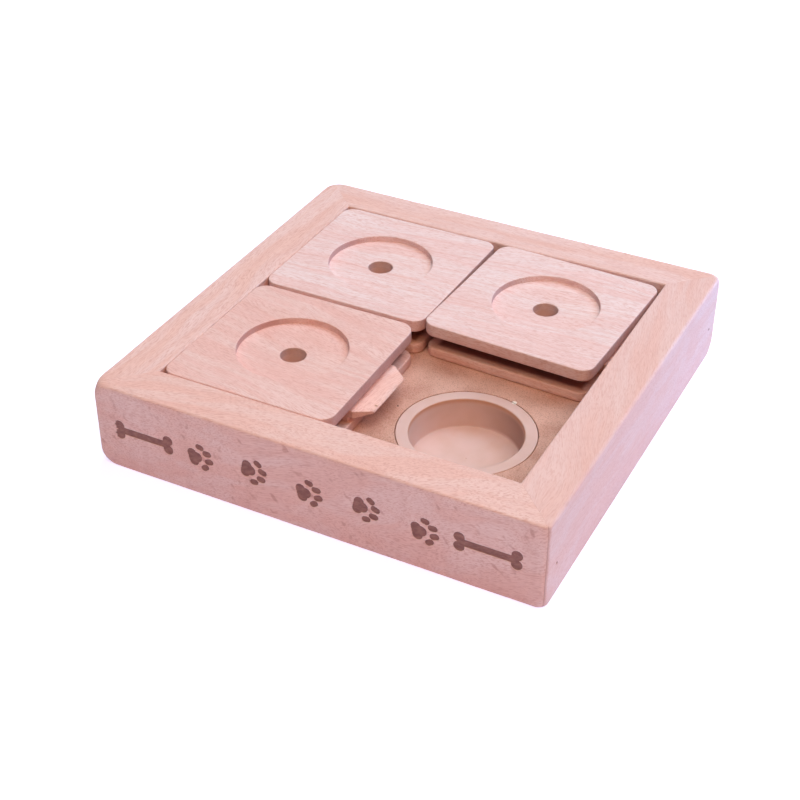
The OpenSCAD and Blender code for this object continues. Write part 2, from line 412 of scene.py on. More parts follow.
@dataclass(frozen=True)
class Slot:
    """The slot between a tile's plates and the bore through them.

    The slot's wood holds painted shade away from the mouth, where little light gets between the
    plates. The bore's wall is painted pale, as painted light where the hole lies in shade.
    """

    x: float
    y: float
    low: float
    high: float
    turn_deg: float = 0.0
    half: float = 32.4
    mouth: float = 1.2
    bore: float = 6.5
    drilled: float = 2.9
    # Painted shade: its share and its colour, where little light reaches into the slot.
    shade: float = 0.85
    colour: Colour = linear(152, 96, 88)
    # Painted light: its share and its colour, which make the shaded bore's wall pale.
    bore_light_share: float = 0.6
    bore_light_colour: Colour = linear(240, 208, 204)

    def over(self, g: Graph, colour: Wire) -> Wire:
        """Draws painted shade into the slot and painted light onto the bore's wall.

        Args:
            g: The board's nodes.
            colour: The board's colour.

        Returns:
            The colour with the slot's painted shade and the bore's painted light.
        """
        from_middle = g.vector("SUBTRACT", g.place(), (self.x, self.y, 0.0))
        moved = g.turned(from_middle, "Z", -self.turn_deg)
        x, y, z = (g.axis(moved, name) for name in "XYZ")
        out = g.math("MAXIMUM", g.math("ABSOLUTE", x), g.math("ABSOLUTE", y))
        flat = g.vector("MULTIPLY", moved, (1.0, 1.0, 0.0))
        off_bore = g.vector("LENGTH", flat, output=1).smooth(self.bore, self.bore + 0.5)
        level = z.smooth(self.low - 0.15, self.low) * z.smooth(self.high + 0.15, self.high)
        # Mask of the painted shade, inside the slot and away from its mouth.
        inside = out.smooth(self.half + self.mouth, self.half - self.mouth) * off_bore * level
        colour = g.mix(inside * self.shade, colour, self.colour)
        brim = self.high + self.drilled
        # Painted light on the bore's wall.
        lit_bore = (1 - off_bore) * z.smooth(brim, brim - 0.4)
        return g.mix(lit_bore * self.bore_light_share, colour, self.bore_light_colour)


@dataclass(frozen=True)
class Scorch:
    """Wood that is burnt brown where a face on the front side is engraved."""

    face_y: float
    depth: float
    middle_z: float
    reach: float
    rise: float
    share: float = 0.93
    cells: Trio = (0.25, 1.1, 0.7)
    dark: Colour = linear(128, 84, 80)
    pale: Colour = linear(160, 112, 104)

    def mask(self, g: Graph) -> Wire:
        """Where the face lies below the front side's plane.

        Args:
            g: The board's nodes.

        Returns:
            The mask, 1 in the engraving and 0 elsewhere.
        """
        x, y, z = (g.axis(g.place(), name) for name in "XYZ")
        sunk = y.smooth(self.face_y + 0.2 * self.depth, self.face_y + 0.7 * self.depth)
        sunk = sunk * y.smooth(self.face_y + 3 * self.depth, self.face_y + 2 * self.depth)
        beside = g.math("ABSOLUTE", x).smooth(self.reach + 1, self.reach)
        level = g.math("ABSOLUTE", z - self.middle_z).smooth(self.rise + 1, self.rise)
        return sunk * beside * level

    def over(self, g: Graph, place: Wire, mask: Wire, colour: Wire) -> Wire:
        """Burns a board's colour where the mask is."""
        char = g.noise(place, self.cells, 3, 0.6).smooth(0.3, 0.72)
        return g.mix(mask * self.share, colour, g.mix(char, self.dark, self.pale))


@dataclass(frozen=True)
class Beech:
    """Sanded and waxed beech, as a solid pattern that runs through the board.

    Lengths are in millimetres. The rings lie round a pith that runs along the fibres. Where a
    name ends in cells, the field gives noise cells per millimetre along, across and up.
    """

    name: str
    slot: str
    grain: Grain = Grain.ALONG_X
    run_out_deg: float = 0.0
    rise_deg: float = 0.0
    cut_from: Trio = (0.0, 0.0, 0.0)
    sway: Trio = (0.0, 22.0, 16.0)
    sway_cells: Trio = (0.012, 0.03, 0.03)
    light: Colour = linear(250, 222, 221)
    warm: Colour = linear(246, 206, 198)
    band_share: float = 0.8
    band_cells: Trio = (0.014, 0.12, 0.1)
    pith: Spot = (14.0, -46.0)
    ring: Colour = linear(228, 170, 158)
    ring_width: float = 3.4
    ring_contrast: float = 0.3
    ring_cells: Trio = (0.02, 0.2, 0.2)
    fibre_share: float = 0.25
    fibre_cells: Trio = (0.07, 2.4, 2.4)
    dash: Colour = linear(212, 154, 144)
    dash_share: float = 0.38
    dash_cells: Trio = (0.34, 2.9, 2.6)
    flecked: bool = False
    ray: Colour = linear(184, 112, 98)
    ray_slant_deg: float = -50.0
    ray_cells: Trio = (0.2, 0.05, 0.34)
    blush_cells: Trio = (0.2, 0.05, 0.02)
    end: Colour = linear(160, 102, 98)
    end_grain: float = 0.35
    roughness: float = 0.52
    relief: float = 0.05
    marks: tuple[Knot | Slot, ...] = ()
    scorch: Scorch | None = None

    def material(self) -> bpy.types.Material:
        """Builds the material.

        Returns:
            A new material with this board's pattern.
        """
        g = Graph(bpy.data.materials.new(self.name))
        place = g.board(self.grain.value + self.run_out_deg, self.rise_deg, self.cut_from)
        drift = g.noise(place, self.sway_cells, 2, output=1)
        sway = g.vector("MULTIPLY", g.vector("SUBTRACT", drift, (0.5,) * 3), self.sway)
        swayed = g.vector("ADD", place, sway)

        band = g.noise(swayed, self.band_cells, 2, 0.55).smooth(0.38, 0.62)
        colour = g.mix(band * self.band_share, self.light, self.warm)
        colour = g.mix(self._rings(g, swayed) * self.ring_contrast, colour, self.ring)

        fibre = g.noise(swayed, self.fibre_cells, 3, 0.6)
        colour = g.mix(fibre.smooth(0.4, 0.72) * self.fibre_share, colour, self.dash)
        dash = g.noise(swayed, self.dash_cells, 1).smooth(0.49, 0.66)
        colour = g.mix(dash * self.dash_share, colour, self.dash)
        if self.flecked:
            colour = self._with_flecks(g, colour)

        colour = g.mix(self._end_mask(g) * self.end_grain, colour, self.end)
        for mark in self.marks:
            colour = mark.over(g, colour)
        rough = fibre * 0.16 + (self.roughness - 0.08)
        if self.scorch:
            burnt = self.scorch.mask(g)
            colour = self.scorch.over(g, place, burnt, colour)
            rough = rough + burnt * 0.2
        normal = g.bump(fibre * 0.5 + (1 - dash) * 0.5, self.relief)
        return g.surface(colour, rough, normal, {"Specular IOR Level": 0.32})

    def _with_flecks(self, g: Graph, colour: Wire) -> Wire:
        """Draws the rays that show as slanted flecks where a face is cut upright.

        Args:
            g: The board's nodes.
            colour: The board's colour.

        Returns:
            The colour with the rays and a faint blush between them.
        """
        upright = g.math("ABSOLUTE", g.axis(g.facing(), "Z")).smooth(0.6, 0.2)
        slanted = g.turned(g.place(), "Y", self.ray_slant_deg)
        ray = g.noise(slanted, self.ray_cells, 1, 0.4).smooth(0.64, 0.78)
        blush = g.noise(g.place(), self.blush_cells, 1).smooth(0.5, 0.7)
        return g.mix((ray * 0.42 + blush * 0.08) * upright, colour, self.ray)

    def _rings(self, g: Graph, place: Wire) -> Wire:
        """The late wood of the growth rings.

        Args:
            g: The board's nodes.
            place: Coordinates in the board.

        Returns:
            A mask of 0 to 1.
        """
        centred = g.vector("SUBTRACT", place, (0.0, *self.pith))
        radius = g.vector("LENGTH", g.vector("MULTIPLY", centred, (0.0, 1.0, 1.0)), output=1)
        phase = radius / self.ring_width + g.noise(place, self.ring_cells, 1) * 0.7
        line = (g.math("COSINE", phase * (2 * math.pi)) * 0.5 + 0.5) ** 3.0
        strength = g.noise(g.node("ShaderNodeCombineXYZ", {}, {"X": phase * 0.45}), (1.0,) * 3, 1)
        return line * strength.smooth(0.34, 0.66)

    def _end_mask(self, g: Graph) -> Wire:
        """Where the surface cuts the fibres across.

        Args:
            g: The board's nodes.

        Returns:
            A mask of 0 to 1.
        """
        turn, rise = math.radians(self.grain.value + self.run_out_deg), math.radians(self.rise_deg)
        fibres = (math.cos(turn) * math.cos(rise), math.sin(turn) * math.cos(rise), math.sin(rise))
        along = g.vector("DOT_PRODUCT", g.facing(), fibres, output=1)
        return g.math("ABSOLUTE", along).smooth(0.45, 0.95)


@dataclass(frozen=True)
class Crumb:
    """A crumb of food, or a dark speck in the board: its middle in the tray and its radius."""

    at: Trio
    radius: float = 1.15
    soft: float = 0.25
    share: float = 1.0
    colour: Colour = linear(255, 250, 246)

    def over(self, g: Graph, place: Wire, colour: Wire) -> Wire:
        """Draws the crumb on a colour.

        Args:
            g: The material's nodes.
            place: The place in the tray's frame.
            colour: The colour without it.

        Returns:
            The colour with it.
        """
        reach = g.vector("DISTANCE", place, self.at, output=1)
        near = reach.smooth(self.radius, self.radius - self.soft)
        return g.mix(near * self.share, colour, self.colour)


@dataclass(frozen=True)
class FibreBoard:
    """Pressed brown fibre board with a fine speckle."""

    crumbs: tuple[Crumb, ...]
    name: str = "fibre_board"
    slot: str = "floor_board"
    pale: Colour = linear(222, 183, 171)
    deep: Colour = linear(199, 154, 140)
    fleck: Colour = linear(146, 100, 84)
    bright: Colour = linear(238, 210, 200)
    cloud_cells: Trio = (0.06, 0.06, 0.06)
    fine_cells: Trio = (2.1, 2.1, 2.1)
    grit_cells: Trio = (1.9, 1.9, 1.9)
    grit_from: Trio = (31.0, 7.0, 3.0)
    relief: float = 0.09

    def material(self) -> bpy.types.Material:
        """Builds the material.

        Returns:
            A new material with the board's clouds and speckle, and the crumbs that lie on it.
        """
        g = Graph(bpy.data.materials.new(self.name))
        place = g.place()
        cloud = g.noise(place, self.cloud_cells, 3)
        fine = g.noise(place, self.fine_cells, 3, 0.7)
        colour = g.mix(cloud.smooth(0.35, 0.65), self.pale, self.deep)
        colour = g.mix(fine.smooth(0.45, 0.72) * 0.5, colour, self.bright)
        grit = g.noise(g.vector("ADD", place, self.grit_from), self.grit_cells, 2, 0.65)
        colour = g.mix(grit.smooth(0.5, 0.7) * 0.5, colour, self.fleck)
        for crumb in self.crumbs:
            colour = crumb.over(g, place, colour)
        normal = g.bump(fine, self.relief)
        return g.surface(colour, fine * 0.1 + 0.68, normal, {"Specular IOR Level": 0.2})


@dataclass(frozen=True)
class CupPlastic:
    """Matt, slightly translucent moulded plastic.

    The wall holds painted shade that grows towards the right, where little light falls, and the
    lip holds a painted warm glow where light shines through under it. The fields top and left say
    where the shown cup stands.
    """

    crumbs: tuple[Crumb, ...]
    name: str = "cup_plastic"
    slot: str = "cup_plastic"
    top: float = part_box("cup_front_right")[1].z / MM
    left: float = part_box("cup_front_right")[0].x / MM
    body: Colour = linear(224, 197, 194)
    deep: Colour = linear(214, 182, 171)
    lip_glow_colour: Colour = linear(206, 146, 104)
    wall_shade_colour: Colour = linear(150, 104, 88)
    cloud_cells: Trio = (0.09, 0.09, 0.12)
    grit_cells: Trio = (2.4, 2.4, 2.4)
    relief: float = 0.012

    def material(self) -> bpy.types.Material:
        """Builds the material.

        Returns:
            A new material: a faint mould mottle, painted wall shade and a painted lip glow.
        """
        g = Graph(bpy.data.materials.new(self.name))
        place = g.place()
        cloud = g.noise(place, self.cloud_cells, 2)
        colour = g.mix(cloud.smooth(0.35, 0.7) * 0.5, self.body, self.deep)
        x, z = g.axis(place, "X"), g.axis(place, "Z")
        wall = z.smooth(self.top - 12.5, self.top - 11.0) * z.smooth(self.top - 0.8, self.top - 3.0)
        # Painted shade on the wall's right side, where little light falls.
        wall_shade = wall * x.smooth(self.left + 16.0, self.left + 48.0)
        colour = g.mix(wall_shade * 0.65, colour, self.wall_shade_colour)
        # A painted warm glow under the lip, where light shines through the plastic.
        lip = z.smooth(self.top - 2.6, self.top - 0.7) * z.smooth(self.top - 0.05, self.top - 0.4)
        colour = g.mix(lip * 0.6, colour, self.lip_glow_colour)
        for crumb in self.crumbs:
            colour = crumb.over(g, place, colour)
        grit = g.noise(place, self.grit_cells, 2)
        fixed = {
            "Specular IOR Level": 0.3,
            "Subsurface Weight": 0.1,
            "Subsurface Radius": (1.0, 0.5, 0.32),
            "Subsurface Scale": 1.6 * MM,
        }
        return g.surface(colour, grit * 0.1 + 0.42, g.bump(grit, self.relief), fixed)


@dataclass(frozen=True)
class PinSteel:
    """Dull brown steel of the headless pins."""

    name: str = "pin_steel"
    slot: str = "pin_steel"
    bare: Colour = linear(92, 70, 64)
    dark: Colour = linear(56, 40, 38)
    patch_cells: Trio = (2.0, 2.0, 2.0)

    def material(self) -> bpy.types.Material:
        """Builds the material.

        Returns:
            A new metal material with dark patches.
        """
        g = Graph(bpy.data.materials.new(self.name))
        patch = g.noise(g.place(), self.patch_cells, 2)
        colour = g.mix(patch.smooth(0.4, 0.6), self.bare, self.dark)
        return g.surface(colour, patch * 0.3 + 0.35, g.bump(patch, 0.02), {"Metallic": 0.8})


Finish = Beech | FibreBoard | CupPlastic | PinSteel


# ---- meshes ------------------------------------------------------------------------------


class Skin:
    """A mesh in millimetres that grows from rings of points."""

    def __init__(self) -> None:
        """Starts an empty mesh."""
        self.points: list[Vector] = []
        self.faces: list[tuple[int, ...]] = []

    def join(self, rings: Sequence[Ring], wrap: bool = False) -> tuple[int, int]:
        """Adds closed rings of equal length and joins each to the next by quads.

        Args:
            rings: The rings, in order.
            wrap: Whether the last ring is joined to the first.

        Returns:
            The numbers of the first ring's and the last ring's first point.
        """
        first, count = len(self.points), len(rings[0])
        for ring in rings:
            self.points.extend(ring)
        for j in range(len(rings) if wrap else len(rings) - 1):
            low, high = first + j * count, first + (j + 1) % len(rings) * count
            for i in range(count):
                k = (i + 1) % count
                self.faces.append((low + i, low + k, high + k, high + i))
        return first, first + (len(rings) - 1) * count

    def loft(self, rings: Sequence[Ring]) -> None:
        """Joins closed rings of equal length by quads and caps both ends.

        Args:
            rings: The rings, in order.
        """
        first, last = self.join(rings)
        self.faces.append(tuple(reversed(range(first, first + len(rings[0])))))
        self.faces.append(tuple(range(last, last + len(rings[0]))))

    def build(
        self, name: str, place: Matrix | None = None, crease_deg: float = CREASE_DEG
    ) -> bpy.types.Object:
        """Makes the Blender object, in metres.

        Args:
            name: The object's name.
            place: Where the mesh goes in the tray's frame, in millimetres.
            crease_deg: The angle between faces past which an edge looks sharp.

        Returns:
            The object, linked to the scene, at the origin.
        """
        mesh = bpy.data.meshes.new(name)
        mesh.from_pydata([tuple(p) for p in self.points], [], self.faces)
        mesh.transform(Matrix.Scale(MM, 4) @ (place or Matrix.Identity(4)))
        mesh.validate()
        mesh.shade_smooth()
        made = bpy.data.objects.new(name, mesh)
        bpy.context.scene.collection.objects.link(made)
        self._face_out(made)
        mesh.set_sharp_from_angle(angle=math.radians(crease_deg))
        return made

    @staticmethod
    def _face_out(made: bpy.types.Object) -> None:
        """Turns the faces outward if the mesh encloses a negative volume.

        Args:
            made: The object whose mesh it is.
        """
        mesh = made.data
        volume = 0.0
        for face in mesh.polygons:
            corners = [mesh.vertices[i].co for i in face.vertices]
            for b, c in zip(corners[1:], corners[2:]):
                volume += corners[0].dot(b.cross(c))
        if volume < 0:
            mesh.flip_normals()


def arc(centre: Spot, radius: float, start_deg: float, end_deg: float, steps: int) -> list[Spot]:
    """Points on an arc in a section, both ends included.

    Args:
        centre: The arc's centre.
        radius: Its radius.
        start_deg: The angle of its first point.
        end_deg: The angle of its last point.
        steps: How many chords it has.

    Returns:
        The points.
    """
    angles = (math.radians(start_deg + (end_deg - start_deg) * i / steps) for i in range(steps + 1))
    return [(centre[0] + radius * math.cos(a), centre[1] + radius * math.sin(a)) for a in angles]


def waver(place: Vector, wavelength: float, seed: float) -> float:
    """Smooth noise of about -1 to 1 at a place, for hand-worked edges."""
    return noise.noise(place / wavelength + Vector((seed, seed * 1.7, seed * 0.3)))


def ease(share: float) -> float:
    """Smooth step from 0 to 1."""
    share = min(1.0, max(0.0, share))
    return share * share * (3 - 2 * share)


@dataclass(frozen=True)
class SquareOutline:
    """A square with round corners, seen from above, that can be drawn at any inset.

    Its skew is how far the front and the back end of the right edge are moved out.
    """

    half: float
    corner_rs: tuple[float, float, float, float]
    skew: Spot = (0.0, 0.0)
    per_corner: int = 10
    per_side: int = 24

    def spots(self) -> list[tuple[Vector, Vector]]:
        """The spots on the outline, without the skew.

        Returns:
            Each spot with the outward direction there, from the right side on.
        """
        found = []
        for quarter, corner_r in enumerate(self.corner_rs):
            turn = Matrix.Rotation(math.radians(90 * quarter), 3, "Z")
            start, end = -self.half + self.corner_rs[quarter - 1], self.half - corner_r
            for i in range(self.per_side):
                y = start + (end - start) * i / self.per_side
                found.append((turn @ Vector((self.half, y, 0)), turn @ Vector((1, 0, 0))))
            for i in range(self.per_corner):
                a = math.radians(90 * i / self.per_corner)
                outward = Vector((math.cos(a), math.sin(a), 0))
                found.append((turn @ (Vector((end, end, 0)) + outward * corner_r), turn @ outward))
        return found

    def ring(self, inset: float, z: float) -> Ring:
        """The outline at an inset, at a height."""
        return [self._skewed(p - d * inset) + Vector((0, 0, z)) for p, d in self.spots()]

    def _skewed(self, point: Vector) -> Vector:
        """Moves a point as the skew of the right edge does.

        Args:
            point: The point.

        Returns:
            The moved point.
        """
        front, back = self.skew
        share = max(0.0, point.x / self.half)
        along = (point.y / self.half + 1) / 2
        return point + Vector((share * (front + (back - front) * along), 0, 0))

    def circle(self, radius: float, z: float, centre: Spot = (0.0, 0.0)) -> Ring:
        """A circle with one point for each spot of the outline.

        Args:
            radius: The circle's radius.
            z: Its height.
            centre: Its centre.

        Returns:
            The ring, with its points in the directions of the outline's spots.
        """
        made = []
        for point in self.ring(0.0, z):
            flat = Vector((point.x, point.y, 0)).normalized() * radius
            made.append(Vector((flat.x + centre[0], flat.y + centre[1], z)))
        return made


def between(low: Ring, high: Ring, share: float) -> Ring:
    """The ring at a share of the way from one ring to another."""
    return [a.lerp(b, share) for a, b in zip(low, high)]


class Piece:
    """What every dressed piece has in common."""

    @staticmethod
    def dress(
        made: bpy.types.Object,
        finish: Finish,
        body: str,
        *nodes: str,
    ) -> bpy.types.Object:
        """Gives a piece its finish and its place in the frame.

        Args:
            made: The piece.
            finish: What it is made of.
            body: The body that it moves with.
            nodes: The CAD nodes that it stands for.

        Returns:
            The piece.
        """
        made.data.materials.clear()
        made.data.materials.append(finish.material())
        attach(made, body)
        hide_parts(*nodes)
        log.info("%s: %d faces, finish %s", made.name, len(made.data.polygons), finish.name)
        return made


# ---- tray --------------------------------------------------------------------------------


@dataclass(frozen=True)
class Ornament:
    """A trail of paw prints between two bones, engraved in the front rail's face.

    Wall is the width of the cut's slanting side, rough is how uneven its ground is, and pitch is
    how far apart the points of the engraved face lie.
    """

    span: float
    middle_z: float
    height: float = 14.0
    depth: float = 0.4
    wall: float = 0.28
    rough: float = 0.16
    rough_length: float = 1.3
    pitch: float = 0.27
    paws: int = 5

    @property
    def bone(self) -> Spot:
        """A bone's length and height."""
        return self.height * 1.9, self.height * 0.62

    def scorch(self, face_y: float) -> Scorch:
        """How the wood is burnt where a face at this place is engraved."""
        return Scorch(face_y, self.depth, self.middle_z, self.span / 2, self.height * 0.75)

    def covers(self, x: float, z: float) -> bool:
        """Whether the engraving may reach a place on the face."""
        return abs(x) < self.span / 2 and abs(z - self.middle_z) < self.bone[1]

    def depth_at(self, point: Vector) -> float:
        """How deep the face is cut at a place.

        Args:
            point: The place on the front rail's face.

        Returns:
            The depth, from 0 on the face, with the cut's rough ground.
        """
        up = point.z - self.middle_z
        if abs(up) > self.height:
            return 0.0
        depth = self.depth * ease(0.5 - self._gap(point.x, up) / self.wall)
        return depth * (1 + self.rough * waver(point, self.rough_length, 5.0))

    def _gap(self, x: float, up: float) -> float:
        """How far the nearest motif is.

        Args:
            x: Place along the rail.
            up: Height above the engraving's middle.

        Returns:
            The distance to its outline, negative inside it.
        """
        step = (self.span - 2 * self.bone[0]) / self.paws
        gaps = [self._bone(abs(x) - (self.span - self.bone[0]) / 2, up)]
        for i in range(self.paws):
            middle = (i - (self.paws - 1) / 2) * step
            lift = (i % 2 - 0.5) * self.height * 0.12
            turn = math.radians(-78 - (i % 2) * 24)
            gaps.append(self._paw(*self._turned(x - middle, up - lift, turn)))
        return min(gaps)

    @staticmethod
    def _turned(x: float, z: float, turn: float) -> Spot:
        """A place in the directions of a motif that is turned."""
        return x * math.cos(turn) + z * math.sin(turn), z * math.cos(turn) - x * math.sin(turn)

    @staticmethod
    def _pill(x: float, z: float, length: float, radius: float) -> float:
        """Distance to a round-ended bar along X."""
        end = length / 2 - radius
        return math.hypot(x - max(-end, min(end, x)), z) - radius

    def _bone(self, x: float, z: float) -> float:
        """Distance to a bone along X.

        Args:
            x: Place along it, from its middle.
            z: Place across it.

        Returns:
            The distance, negative inside it.
        """
        length, height = self.bone
        knob = height / 4
        along = abs(x) - (length / 2 - knob)
        bar = max(along, abs(z) - height * 0.18)
        return min(bar, math.hypot(along, abs(z) - knob * 0.95) - knob)

    def _paw(self, x: float, z: float) -> float:
        """Distance to a paw print whose toes point up, drawn on a grid of 20 units a side.

        Args:
            x: Place across it, from its middle.
            z: Place along it, from its middle.

        Returns:
            The distance, negative inside it.
        """
        unit = self.height * 0.86 / 20
        x, z = abs(x) / unit, z / unit
        pad = min(
            math.hypot(x, z + 1.8) - 3.9,
            math.hypot(x - 3.1, z + 4.6) - 3.3,
            max(x - 3.1, abs(z + 6.0) - 1.9),
        )
        outer = self._pill(*self._turned(x - 7.6, z - 2.6, math.radians(114)), 6.0, 2.1)
        inner = self._pill(*self._turned(x - 3.0, z - 6.8, math.radians(98)), 6.4, 2.2)
        return min(pad, outer, inner) * unit


@dataclass(frozen=True)
class Corner:
    """An upright corner of the tray, which sanding has rounded more at its top and its foot."""

    top_r: float
    foot_r: float
    seam: float = 0.06
    reach: float = 6.7

    def radius(self, least: float, z: float, height: float) -> float:
        """The corner's radius seen from above.

        Args:
            least: The radius half way up.
            z: The height that it is wanted at.
            height: The tray's height.

        Returns:
            The radius there.
        """
        radius = least
        for most, gap in ((self.top_r, height - z), (self.foot_r, z)):
            share = min(1.0, max(0.0, 1 - gap / self.reach))
            radius = max(radius, least + (most - least) * (1 - math.sqrt(1 - share * share)))
        return radius


@dataclass(frozen=True)
class Cut:
    """A cut across the front rail, seen from above."""

    outer: Vector
    inward: Vector
    inner: Vector
    to_mitre: float

    def towards(self, other: Cut, share: float) -> Cut:
        """The cut at a share of the way to another.

        Args:
            other: The other cut.
            share: 0 for this cut and 1 for the other.

        Returns:
            The cut between them.
        """
        return Cut(
            self.outer.lerp(other.outer, share),
            self.inward.lerp(other.inward, share).normalized(),
            self.inner.lerp(other.inner, share),
            self.to_mitre + (other.to_mitre - self.to_mitre) * share,
        )

    def mirrored(self) -> Cut:
        """The same cut at the rail's other end."""
        flip = Vector((-1, 1, 1))
        return Cut(self.outer * flip, self.inward * flip, self.inner * flip, self.to_mitre)


@dataclass(frozen=True)
class Tray(Piece):
    """The four mitred rails, with the sizes that they share.

    The corners and arrises are held by side. A side's corner is the one at its right end, seen
    from outside. Wear is how much the hand has taken off an arris at most, in long waves, and
    tooth is the short unevenness on top of it. The steps say how far apart a rail's mesh is cut.
    """

    side: float = (CAD_BOX[1].x - CAD_BOX[0].x) / MM
    height: float = CAD_BOX[1].z / MM
    rail_w: float = (CAD_BOX[1].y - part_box("rail_back")[0].y) / MM
    corner_r: float = 2.2
    bottom_r: float = 0.6
    inner_r: float = 0.5
    board_z: Spot = (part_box("floor_panel")[0].z / MM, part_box("floor_panel")[1].z / MM)
    board_groove: float = 5.5
    tongue_z: Spot = (
        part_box("keeper_strip_front")[0].z / MM,
        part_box("keeper_strip_front")[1].z / MM,
    )
    tongue_groove: float = 7.8
    groove_mouth: float = 0.2
    pin_r: float = 0.6
    pin_gap: float = 0.05
    arris_blend: float = 14.0
    wear: float = 0.16
    wear_length: float = 19.0
    tooth: float = 0.04
    tooth_length: float = 3.0
    sanded_from: float = 1.5
    sanded_share: float = 0.8
    face_step: float = 1.2
    bar_step: float = 4.0
    end_step: float = 1.0
    end_reach: float = 18.0
    corner_steps: int = 7
    mitre_share: float = 0.8
    corners: dict[Side, Corner] = field(
        default_factory=lambda: {
            Side.FRONT: Corner(4.0, 5.0, 0.22),
            Side.RIGHT: Corner(7.0, 10.0),
            Side.BACK: Corner(10.0, 10.0),
            Side.LEFT: Corner(12.0, 11.0),
        }
    )
    arrises: dict[Side, float] = field(
        default_factory=lambda: {
            Side.FRONT: 0.8,
            Side.RIGHT: 1.1,
            Side.BACK: 1.5,
            Side.LEFT: 1.5,
        }
    )

    @property
    def ornament(self) -> Ornament:
        """The engraving on the front rail."""
        return Ornament(self.side - 2 * self.corner_r - Ornament.height, self.height / 2)

    @property
    def deepest(self) -> float:
        """The greatest radius of a top arris."""
        return max(self.arrises.values())

    def _arris(self, side: Side, x: float) -> float:
        """The radius of a rail's top arris, which meets the next rail's at a corner.

        Args:
            side: The rail's side.
            x: Place along the rail.

        Returns:
            The radius there.
        """
        own, other = self.arrises[side], self.arrises[side.beside(1 if x > 0 else -1)]
        share = ease((self.side / 2 - abs(x)) / self.arris_blend)
        return own + (other - own) / 2 * (1 - share)

    def _face_heights(self, carved: bool, low: float, high: float) -> list[float]:
        """Heights of the outer face's points, close together where it is engraved.

        Args:
            carved: Whether the face is engraved.
            low: The lowest height.
            high: The greatest height.

        Returns:
            The heights, from the lowest on.
        """
        heights, z = [], low
        while z < high - 0.2:
            heights.append(z)
            engraved = carved and self.ornament.covers(0.0, z)
            z += self.ornament.pitch if engraved else self.face_step
        return heights + [high]

    def section(self, carved: bool, top_r: float) -> list[Spot]:
        """A rail's section, as inset from the outer face and height.

        Args:
            carved: Whether the outer face is divided finely, for the engraving.
            top_r: The radius of the top arris.

        Returns:
            The section's points, from the bottom of the outer face round to the bottom face.
        """
        w, h, lip_r, low_r = self.rail_w, self.height, self.inner_r, self.bottom_r
        rows = (2.9, 4.0, 5.4, w / 3 + 1.5, 2 * w / 3)
        points = arc((low_r, low_r), low_r, 270, 180, 5)
        face = self._face_heights(carved, low_r + SUPPORT, h - self.deepest - SUPPORT)
        points += [(0.0, z) for z in face]
        points += arc((top_r, h - top_r), top_r, 180, 90, 6)
        points += [(inset, h) for inset in (top_r + SUPPORT, *rows, w - lip_r - SUPPORT)]
        points += arc((w - lip_r, h - lip_r), lip_r, 90, 0, 4)
        points += [(w, h - lip_r - SUPPORT)]
        grooves = ((self.tongue_z, self.tongue_groove), (self.board_z, self.board_groove))
        for (z0, z1), deep in grooves:
            mouth = self.groove_mouth
            points += [(w, z1 + mouth), (w - mouth, z1), (w - deep, z1)]
            points += [(w - deep, z0), (w - mouth, z0), (w, z0 - mouth)]
        points += [(w, SUPPORT), (w - SUPPORT, 0.0)]
        return points + [(inset, 0.0) for inset in (*reversed(rows), 1.9, low_r + SUPPORT)]

    def _places(self, carved: bool, straight: float) -> list[float]:
        """Where the straight of a rail is cut, close together at its ends and its engraving.

        Args:
            carved: Whether the rail is engraved.
            straight: How far the straight reaches from the rail's middle.

        Returns:
            The places along the rail, from its left end on.
        """
        places, x = [], -straight + 1.0
        while x < straight - 0.3:
            places.append(x)
            at_end = straight - abs(x + self.end_step) < self.end_reach
            if carved and self.ornament.covers(x, self.height / 2):
                x += self.ornament.pitch
            else:
                x += self.end_step if at_end else self.bar_step
        return places

    def cuts(self, carved: bool) -> list[Cut]:
        """Where the front rail is cut across, from its left mitre to its right one.

        Args:
            carved: Whether the cuts lie close together for the engraving.

        Returns:
            The cuts.
        """
        half, inner, r = self.side / 2, self.side / 2 - self.rail_w, self.corner_r
        straight, turns = half - r, self.corner_steps
        right = []
        for i in range(turns + 1):
            a = math.radians(-45 - 45 * i / turns)
            direction = Vector((math.cos(a), math.sin(a), 0))
            outer = Vector((straight, -straight, 0)) + direction * r
            along = i / turns * r * self.mitre_share
            right.append(Cut(outer, -direction, Vector((inner - along, -inner, 0)), along))
        right.insert(1, right[0].towards(right[1], 0.35))
        middle = []
        for x in self._places(carved, straight):
            inset = (inner - r * self.mitre_share) * x / straight
            inner_edge = Vector((inset, -inner, 0))
            middle.append(Cut(Vector((x, -half, 0)), Vector((0, 1, 0)), inner_edge, half - abs(x)))
        return [cut.mirrored() for cut in right] + middle + right[::-1]

    def rail(self, side: Side, finish: Beech) -> bpy.types.Object:
        """Builds and dresses one rail.

        Args:
            side: The side of the tray that it is on.
            finish: Its board.

        Returns:
            The rail.
        """
        carved = side is Side.FRONT
        turn = Matrix.Rotation(math.radians(side.value), 4, "Z")
        rings = []
        for cut in self.cuts(carved):
            top_r = self._arris(side, cut.outer.x)
            section = self.section(carved, top_r)
            rings.append([self._rail_point(side, turn, cut, top_r, spot) for spot in section])
        skin = Skin()
        skin.loft(rings)
        name = "rail_" + side.name.lower()
        made = skin.build(name + "_beech", turn)
        if side in (Side.LEFT, Side.RIGHT):
            self._bore_pins(made, 1 if side is Side.RIGHT else -1)
        return self.dress(made, finish, "tray", name)

